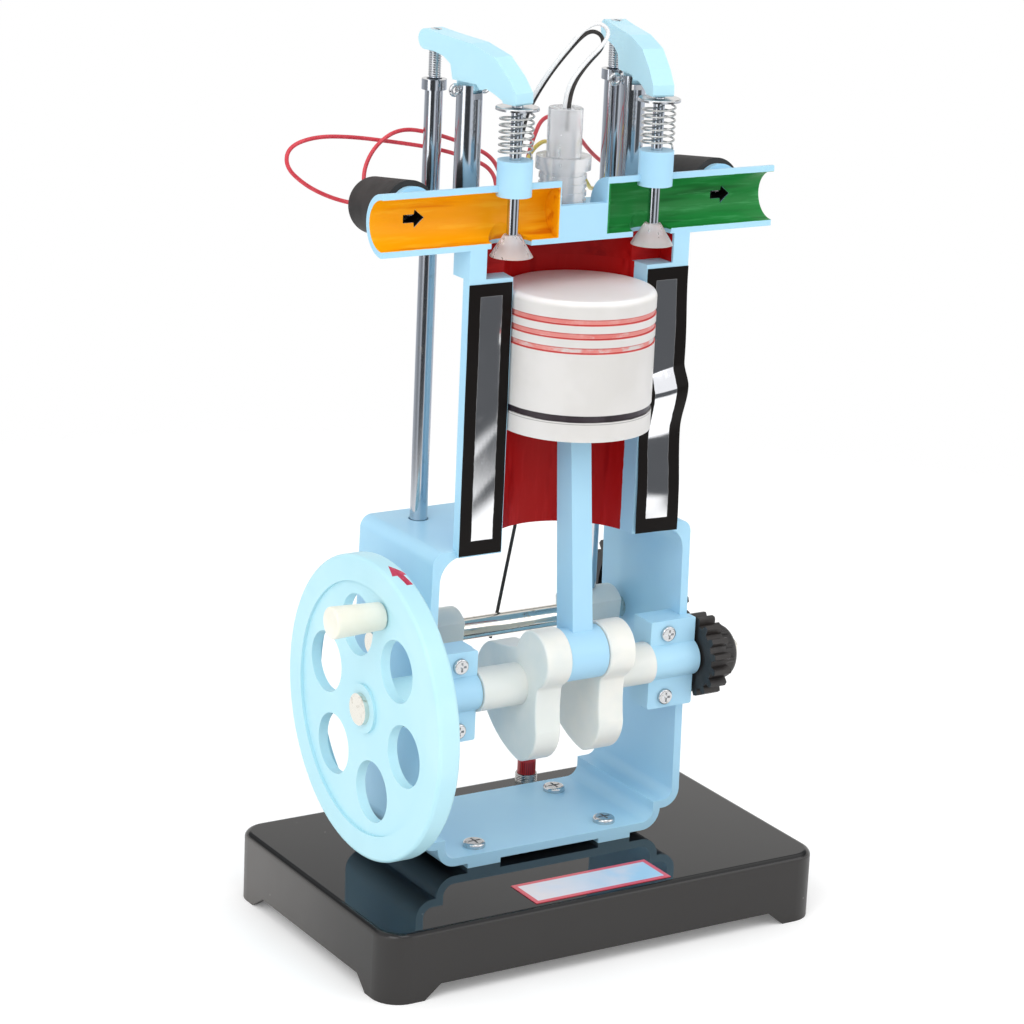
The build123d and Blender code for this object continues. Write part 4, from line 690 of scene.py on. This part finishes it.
node_finishes = {
    "frame": ("frame_bracket", "bearing_cap_left", "bearing_cap_right", "connecting_rod"),
    "wheel": ("flywheel",),
    "block": ("cylinder_block",),
    "head": ("cylinder_head",),
    "rocker": ("rocker_arm_left", "rocker_arm_right"),
    "nylon": ("crank_web_left", "crank_web_right", "cam_left", "cam_right"),
    "piston": ("piston",),
    "ivory": ("handle_grip",),
    "base": ("base_shell", "base_plate"),
    "label": ("label_plate",),
    "film": ("jacket_panels",),
    "plug": ("spark_plug",),
    "valve": ("valve_head_left", "valve_head_right"),
    "lamp": ("lamps",),
    "rod": ("push_rod_left", "push_rod_right", "rocker_post_left", "rocker_post_right", "valve_stem_left",
            "valve_stem_right", "adjusting_screw_left", "adjusting_screw_right"),
    "shaft": ("camshaft_rod", "crank_axles", "crank_pin", "wrist_pin", "handle_pin"),
    "screw": ("frame_screws", "cap_screws", "base_screws", "rocker_pins", "spring_retainer_left",
              "spring_retainer_right"),
    "spring": ("valve_spring_left", "valve_spring_right"),
    "collar": ("switch_collar",),
    "gear": ("crank_gear", "cam_gear"),
    "rubber": ("lamp_sleeve_left", "lamp_sleeve_right"),
    "button": ("switch_button",),
    "battery": ("battery_pack",),
    "black": ("contact_spring",),
}


def dress_nodes():
    """Give every CAD node that stays its finish."""
    for finish, names in node_finishes.items():
        for name in names:
            mesh = nodes[name].data
            mesh.materials.clear()
            mesh.materials.append(finishes[finish])


# Leads

LEAD = 0.0016
lead_rows = (
    ("lead_left_back", "red", 0.1520, (
        (-0.0710, 0.02442, 0.28745), (-0.0710, 0.03185, 0.28644), (-0.0790, 0.0360, 0.2885),
        (-0.0890, 0.0375, 0.2935), (-0.0975, 0.0380, 0.3010), (-0.0960, 0.0390, 0.3085),
        (-0.0840, 0.0400, 0.3115), (-0.0680, 0.0410, 0.3103), (-0.0500, 0.0410, 0.3073),
        (-0.0350, 0.0385, 0.3048), (-0.0255, 0.0300, 0.3025), (-0.0183, 0.0188, 0.2992),
        (-0.02025, 0.0114, 0.2900), (-0.02025, 0.0114, 0.2820))),
    ("lead_left_front", "red", 0.1011, (
        (-0.0660, 0.02476, 0.28992), (-0.0660, 0.03219, 0.28892), (-0.0650, 0.0370, 0.2975),
        (-0.0595, 0.0380, 0.3070), (-0.0490, 0.0383, 0.3130), (-0.0360, 0.0365, 0.3110),
        (-0.0250, 0.0285, 0.3073), (-0.0170, 0.0185, 0.3028), (-0.01775, 0.0114, 0.2900),
        (-0.01775, 0.0114, 0.2820))),
    ("lead_plug_white", "white", 0.1341, (
        (-0.0010, -0.0020, 0.3160), (-0.0010, -0.0020, 0.3253), (0.0002, -0.0032, 0.3345),
        (0.0070, -0.0034, 0.3425), (0.0155, -0.0030, 0.3490), (0.0180, -0.0018, 0.3534),
        (0.0140, -0.0004, 0.3566), (0.0088, 0.0010, 0.3544), (0.0032, 0.0028, 0.3474),
        (-0.0022, 0.0050, 0.3398), (-0.0070, 0.0070, 0.3316), (-0.0116, 0.0085, 0.3226),
        (-0.0138, 0.0096, 0.3122), (-0.0150, 0.0108, 0.3010), (-0.01525, 0.0114, 0.2900),
        (-0.01525, 0.0114, 0.2820))),
    ("lead_plug_black", "black", 0.1245, (
        (0.0010, -0.0020, 0.3160), (0.0010, -0.0020, 0.3253), (0.0030, -0.0018, 0.3340),
        (0.0092, -0.0012, 0.3412), (0.0165, -0.0006, 0.3470), (0.0163, 0.0004, 0.3512),
        (0.0126, 0.0015, 0.3532), (0.0089, 0.0028, 0.3512), (0.0038, 0.0048, 0.3448),
        (-0.0012, 0.0070, 0.3375), (-0.0056, 0.0090, 0.3295), (-0.0098, 0.0103, 0.3208),
        (-0.0112, 0.0108, 0.3110), (-0.0124, 0.0112, 0.3005), (-0.01275, 0.0114, 0.2900),
        (-0.01275, 0.0114, 0.2820))),
    ("lead_right_yellow", "yellow", 0.1284, (
        (0.0700, 0.02435, 0.28695), (0.0700, 0.03179, 0.28595), (0.0620, 0.0390, 0.2845),
        (0.0490, 0.0420, 0.2830), (0.0385, 0.0370, 0.2840), (0.0310, 0.0270, 0.2875),
        (0.0235, 0.0215, 0.2945), (0.0150, 0.0195, 0.3020), (0.0060, 0.0170, 0.3085),
        (-0.0020, 0.0120, 0.3098), (-0.0080, 0.0116, 0.3040), (-0.01025, 0.0114, 0.2900),
        (-0.01025, 0.0114, 0.2820))),
    ("lead_right_red", "red", 0.1233, (
        (0.0660, 0.02469, 0.28943), (0.0660, 0.03212, 0.28842), (0.0590, 0.0390, 0.2895),
        (0.0472, 0.0400, 0.2923), (0.0365, 0.0355, 0.2990), (0.0260, 0.0290, 0.3075),
        (0.0155, 0.0245, 0.3160), (0.0040, 0.0205, 0.3180), (-0.0030, 0.0160, 0.3095),
        (-0.0070, 0.0130, 0.3025), (-0.00775, 0.0114, 0.2900), (-0.00775, 0.0114, 0.2820))),
)


def add_leads():
    """Six thin leads, each one smooth curve through the same points as its solid."""
    for node, cover, length, points in lead_rows:
        curve = bpy.data.curves.new(node.replace("lead_", "wire_"), "CURVE")
        curve.dimensions = "3D"
        line = curve.splines.new("NURBS")
        line.points.add(len(points) - 1)
        for spot, place in zip(line.points, points):
            spot.co = (*place, 1.0)
        line.order_u = 3
        line.use_endpoint_u = True
        line.resolution_u = 12
        curve.bevel_depth = LEAD / 2
        curve.bevel_resolution = 5
        curve.use_fill_caps = True
        curve.materials.append(finishes[cover])
        wire = bpy.data.objects.new(curve.name, curve)
        scene.collection.objects.link(wire)
        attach(wire, "stand")
        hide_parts(node)


dress_nodes()
add_leads()


# Pieces made in Blender

def finish_piece(name, mesh, body, finish):
    """Link a mesh as a piece that rides on a body."""
    if not mesh.materials:
        mesh.materials.append(finishes[finish])
    piece = bpy.data.objects.new(name, mesh)
    scene.collection.objects.link(piece)
    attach(piece, body)
    return piece


def mesh_from(work, name, smooth_angle=30.0):
    """Finish a bmesh as a mesh with smooth rounds and sharp edges."""
    bmesh.ops.recalc_face_normals(work, faces=work.faces)
    mesh = bpy.data.meshes.new(name)
    work.to_mesh(mesh)
    work.free()
    mesh.shade_smooth()
    mesh.set_sharp_from_angle(angle=math.radians(smooth_angle))
    return mesh


FILM_THICK = 0.0003
FILM_WAVE = 0.00015         # how far a film is from flat
FILM_ROWS, FILM_COLUMNS = 90, 12
# How far the loose film stands off, from its top to its foot, and its slant and share at the inner edge
PEEL_STEPS = ((FILM_HIGH, 0.0), (0.2220, 0.0012), (0.2130, 0.0050), (0.1950, 0.0006), (0.1700, 0.0024),
              (FILM_LOW, 0.0026))
PEEL_SLANT = 0.004
PEEL_INNER_SHARE = 0.55


def peel(level):
    """How far the loose film stands off at this height."""
    for (high, above), (low, under) in zip(PEEL_STEPS, PEEL_STEPS[1:]):
        if level >= low:
            share = min(max((high - level) / (high - low), 0.0), 1.0)
            return above + (under - above) * share * share * (3 - 2 * share)
    return PEEL_STEPS[-1][1]


def add_film(side, name):
    """Mirror film on one side of the bore; the right one has come loose and bulges forward."""
    work = bmesh.new()
    grid = []
    for row in range(FILM_ROWS + 1):
        level = FILM_LOW + (FILM_HIGH - FILM_LOW) * row / FILM_ROWS
        line = []
        for column in range(FILM_COLUMNS + 1):
            share = column / FILM_COLUMNS
            across = FILM_INNER + (FILM_OUTER - FILM_INNER) * share
            lift = FILM_WAVE * math.sin(level * 180 + 3 * share)
            if side > 0:
                loose = PEEL_INNER_SHARE + (1 - PEEL_INNER_SHARE) * share
                lift += peel(level - PEEL_SLANT * share) * loose
            line.append(work.verts.new((side * across, CUT_Y - FILM_THICK - max(lift, 0.0), level)))
        grid.append(line)
    for low, high in zip(grid, grid[1:]):
        for a, b, c, d in zip(low, low[1:], high[1:], high):
            work.faces.new((a, b, c, d))
    front = list(work.faces)
    skin = bmesh.ops.extrude_face_region(work, geom=front)
    for item in skin["geom"]:
        if isinstance(item, bmesh.types.BMVert):
            item.co.y += FILM_THICK
    mesh = mesh_from(work, name, 50.0)
    return finish_piece(name, mesh, "stand", "film")


def add_films():
    left = add_film(-1, "film_left")
    add_film(1, "film_right")
    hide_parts("jacket_panels")


# Repeats, by Geometry Nodes

def new_tree(name, inputs):
    """Geometry Nodes tree with named inputs; returns it with the identifiers of the inputs."""
    tree = bpy.data.node_groups.new(name, "GeometryNodeTree")
    names = {}
    for label, kind in inputs:
        names[label] = tree.interface.new_socket(name=label, in_out="INPUT", socket_type=kind).identifier
    tree.interface.new_socket(name="Geometry", in_out="OUTPUT", socket_type="NodeSocketGeometry")
    start = tree.nodes.new("NodeGroupInput")
    end = tree.nodes.new("NodeGroupOutput")
    return tree, start.outputs, end, names


def end_tree(tree, end, geometry, surface):
    real = put(tree, "GeometryNodeRealizeInstances", {"Geometry": geometry})
    done = put(tree, "GeometryNodeSetMaterial", {"Geometry": real, "Material": surface})
    tree.links.new(done, end.inputs["Geometry"])


def make_thread_tree():
    """A round ridge wound around Z: a screw thread."""
    tree, ins, end, names = new_tree("screw_thread", (
        ("Radius", "NodeSocketFloat"), ("Turns", "NodeSocketFloat"), ("Length", "NodeSocketFloat"),
        ("Ridge", "NodeSocketFloat"), ("Place", "NodeSocketVector"), ("Surface", "NodeSocketMaterial")))
    spiral = put(tree, "GeometryNodeCurveSpiral", {
        "Resolution": 28, "Rotations": ins["Turns"], "Start Radius": ins["Radius"],
        "End Radius": ins["Radius"], "Height": ins["Length"]})
    section = put(tree, "GeometryNodeCurvePrimitiveCircle", {"Resolution": 8, "Radius": ins["Ridge"]})
    ridge = put(tree, "GeometryNodeCurveToMesh",
                {"Curve": spiral, "Profile Curve": section, "Fill Caps": True})
    placed = put(tree, "GeometryNodeTransform", {"Geometry": ridge, "Translation": ins["Place"]})
    end_tree(tree, end, placed, ins["Surface"])
    return tree, names


def grow(name, tree_and_names, values, body, finish):
    """Run a tree on an empty mesh and keep the result as a plain piece."""
    tree, names = tree_and_names
    holder = bpy.data.objects.new(name + "_holder", bpy.data.meshes.new(name + "_holder"))
    scene.collection.objects.link(holder)
    modifier = holder.modifiers.new("repeat", "NODES")
    modifier.node_group = tree
    for label, value in values.items():
        modifier[names[label]] = value
    modifier[names["Surface"]] = finishes[finish]
    graph = bpy.context.evaluated_depsgraph_get()
    mesh = bpy.data.meshes.new_from_object(holder.evaluated_get(graph))
    mesh.name = name
    bpy.data.objects.remove(holder)
    mesh.shade_smooth()
    mesh.set_sharp_from_angle(angle=math.radians(60.0))
    return finish_piece(name, mesh, body, finish)


thread_tree = make_thread_tree()

# Threads, in metres
SCREW_X, SCREW_Y, SCREW_LOW = 0.0404, 0.0278, 0.3343
SCREW_RADIUS = 0.00215
SCREW_LENGTH = 0.0098
SCREW_PITCH = 0.0009
SCREW_RIDGE = 0.00032
COLLAR_LOW = 0.0311
COLLAR_RADIUS = 0.0044
COLLAR_LENGTH = 0.0030
COLLAR_TURNS = 4.0
COLLAR_RIDGE = 0.00026


def add_threads():
    """Threads of the adjusting screws and of the switch collar."""
    for side, word in ((-1, "left"), (1, "right")):
        grow(f"screw_thread_{word}_low", thread_tree, {
            "Radius": SCREW_RADIUS, "Turns": SCREW_LENGTH / SCREW_PITCH, "Length": SCREW_LENGTH,
            "Ridge": SCREW_RIDGE, "Place": (side * SCREW_X, SCREW_Y, SCREW_LOW)},
            f"rocker_{word}", "screw")
    grow("collar_thread", thread_tree, {
        "Radius": COLLAR_RADIUS, "Turns": COLLAR_TURNS, "Length": COLLAR_LENGTH, "Ridge": COLLAR_RIDGE,
        "Place": (SWITCH_X, SWITCH_Y, COLLAR_LOW)}, "stand", "collar")


add_films()
add_threads()


# Floor, light and background

FLOOR_SOLID, FLOOR_END = 0.54, 0.74     # radii where the floor starts to fade and where it ends
FLOOR_GLOW = 0.14


def kinds_of_ray(tree):
    """Masks of the rays that show the background to the camera, and of those that a shine sends."""
    rays = put(tree, "ShaderNodeLightPath", out=None).outputs
    return either(tree, rays["Is Camera Ray"], rays["Is Transmission Ray"]), rays["Is Glossy Ray"]


def add_floor():
    """Round white table top that fades into the background."""
    work = bmesh.new()
    bmesh.ops.create_circle(work, cap_ends=True, segments=96, radius=FLOOR_END)
    mesh = bpy.data.meshes.new("floor")
    work.to_mesh(mesh)
    work.free()
    surface = bpy.data.materials.new("floor_white")
    surface.use_nodes = True
    tree = surface.node_tree
    tree.nodes.clear()
    spot = places(tree)
    x, y, z = axes_of(tree, spot)
    faded = step(tree, reach(tree, x, y), FLOOR_SOLID, FLOOR_END)
    grain = noise(tree, spot, 30.0, 3.0)
    color = blend_colors(tree, step(tree, grain, 0.3, 0.7), rgb(0.93, 0.93, 0.93), rgb(0.95, 0.95, 0.95))
    matte = put(tree, "ShaderNodeBsdfDiffuse", {"Color": color})
    strength = times(tree, either(tree, *kinds_of_ray(tree)), FLOOR_GLOW)
    glow = put(tree, "ShaderNodeEmission", {"Color": rgb(1, 1, 1), "Strength": strength})
    lit = put(tree, "ShaderNodeAddShader", {0: matte, 1: glow})
    clear = put(tree, "ShaderNodeBsdfTransparent")
    mix = put(tree, "ShaderNodeMixShader", {0: faded, 1: lit, 2: clear})
    put(tree, "ShaderNodeOutputMaterial", {"Surface": mix}, out=None)
    mesh.materials.append(surface)
    floor = bpy.data.objects.new("floor", mesh)
    scene.collection.objects.link(floor)


# Studio around the object at eye level: degrees to the right of the camera, and brightness with a cool tint
STUDIO_RING = (
    (-180, 0.90), (-125, 0.60), (-75, 0.34), (-48, 0.55), (-34, 0.06), (6, 0.06), (20, 0.88), (40, 0.92),
    (50, 0.105), (76, 0.11), (92, 0.80), (180, 0.90))
# Where one tone of the studio goes over to the next, as the sine of the angle above eye level
EYE_LEVEL = (-0.04, 0.04)
WALL_TO_DARK = (0.33, 0.46)
DARK_TO_CEILING = (0.52, 0.8)
EVEN_LIGHT = 0.9


def fill_ramp(ramp, ring):
    """Set the stops of a colour ramp from a ring of angles."""
    ramp.interpolation = "EASE"
    for number, (angle, level) in enumerate(ring):
        place = (angle + 180) / 360
        stop = ramp.elements[number] if number < 2 else ramp.elements.new(place)
        stop.position = place
        stop.color = rgb(0.93 * level, 0.97 * level, min(1.0, 1.04 * level))


def add_studio():
    """White background, even light, and a studio with a dark side for what shines."""
    world = bpy.data.worlds.new("studio")
    scene.world = world
    world.use_nodes = True
    tree = world.node_tree
    tree.nodes.clear()
    direction = put(tree, "ShaderNodeTexCoord", out="Generated")
    x, y, z = axes_of(tree, direction)
    ahead = (math.sin(AZIMUTH), -math.cos(AZIMUTH))
    side = (-ahead[1], ahead[0])

    def toward(forward, sideways):
        """How far a direction points to this compass point, seen from the camera."""
        east = forward * ahead[0] + sideways * side[0]
        north = forward * ahead[1] + sideways * side[1]
        return plus(tree, times(tree, x, east), times(tree, y, north))

    forward, sideways = toward(1.0, 0.0), toward(0.0, 1.0)
    turn = calc(tree, "DEGREES", calc(tree, "ARCTAN2", sideways, forward))
    place = calc(tree, "DIVIDE", plus(tree, turn, 180.0), 360.0)
    around = put(tree, "ShaderNodeValToRGB", {0: place}, out=None)
    fill_ramp(around.color_ramp, STUDIO_RING)
    low = around.outputs["Color"]
    backdrop = blend_colors(tree, step(tree, z, *WALL_TO_DARK), rgb(1.0, 0.98, 0.96), rgb(0.26, 0.27, 0.28))
    backdrop = blend_colors(tree, step(tree, z, *DARK_TO_CEILING), backdrop, rgb(1.0, 1.0, 1.0))
    flat = calc(tree, "SQRT", minus(tree, 1.0001, times(tree, z, z)))
    back = calc(tree, "DIVIDE", toward(-1.0, 0.0), flat)
    high = blend_colors(tree, step(tree, back, 0.0, 0.5), rgb(0.98, 0.98, 1.0), backdrop)
    room = blend_colors(tree, step(tree, z, *EYE_LEVEL), low, high)
    seen, glossy = kinds_of_ray(tree)
    even = put(tree, "ShaderNodeBackground", {"Color": rgb(1, 1, 1), "Strength": EVEN_LIGHT})
    shining = put(tree, "ShaderNodeBackground", {"Color": room, "Strength": 1.0})
    white = put(tree, "ShaderNodeBackground", {"Color": rgb(1, 1, 1), "Strength": 1.0})
    sky = put(tree, "ShaderNodeMixShader", {0: glossy, 1: even, 2: shining})
    sky = put(tree, "ShaderNodeMixShader", {0: seen, 1: sky, 2: white})
    put(tree, "ShaderNodeOutputWorld", {"Surface": sky}, out=None)


# Name, place, what it points at, power in watts, and size
LAMPS = (
    ("key_light", (-1.5, -1.1, 1.6), (0, 0, 0.18), 13.0, 1.3),
    ("fill_light", (1.4, -1.5, 0.9), (0, 0, 0.18), 6.0, 1.2),
    ("side_light", (-1.8, -0.35, 0.30), (0.05, 0, 0.12), 3.2, 0.8),
    ("top_light", (0.1, -1.0, 2.1), (0, 0, 0.2), 5.0, 1.0),
)


def add_lamp(name, place, target, power, size):
    lamp = bpy.data.lights.new(name, "AREA")
    lamp.shape = "SQUARE"
    lamp.size = size
    lamp.energy = power
    lit = bpy.data.objects.new(name, lamp)
    scene.collection.objects.link(lit)
    lit.location = place
    lit.rotation_euler = (Vector(target) - Vector(place)).to_track_quat("-Z", "Y").to_euler()


add_floor()
add_studio()
for row in LAMPS:
    add_lamp(*row)
scene.view_settings.view_transform = "Standard"
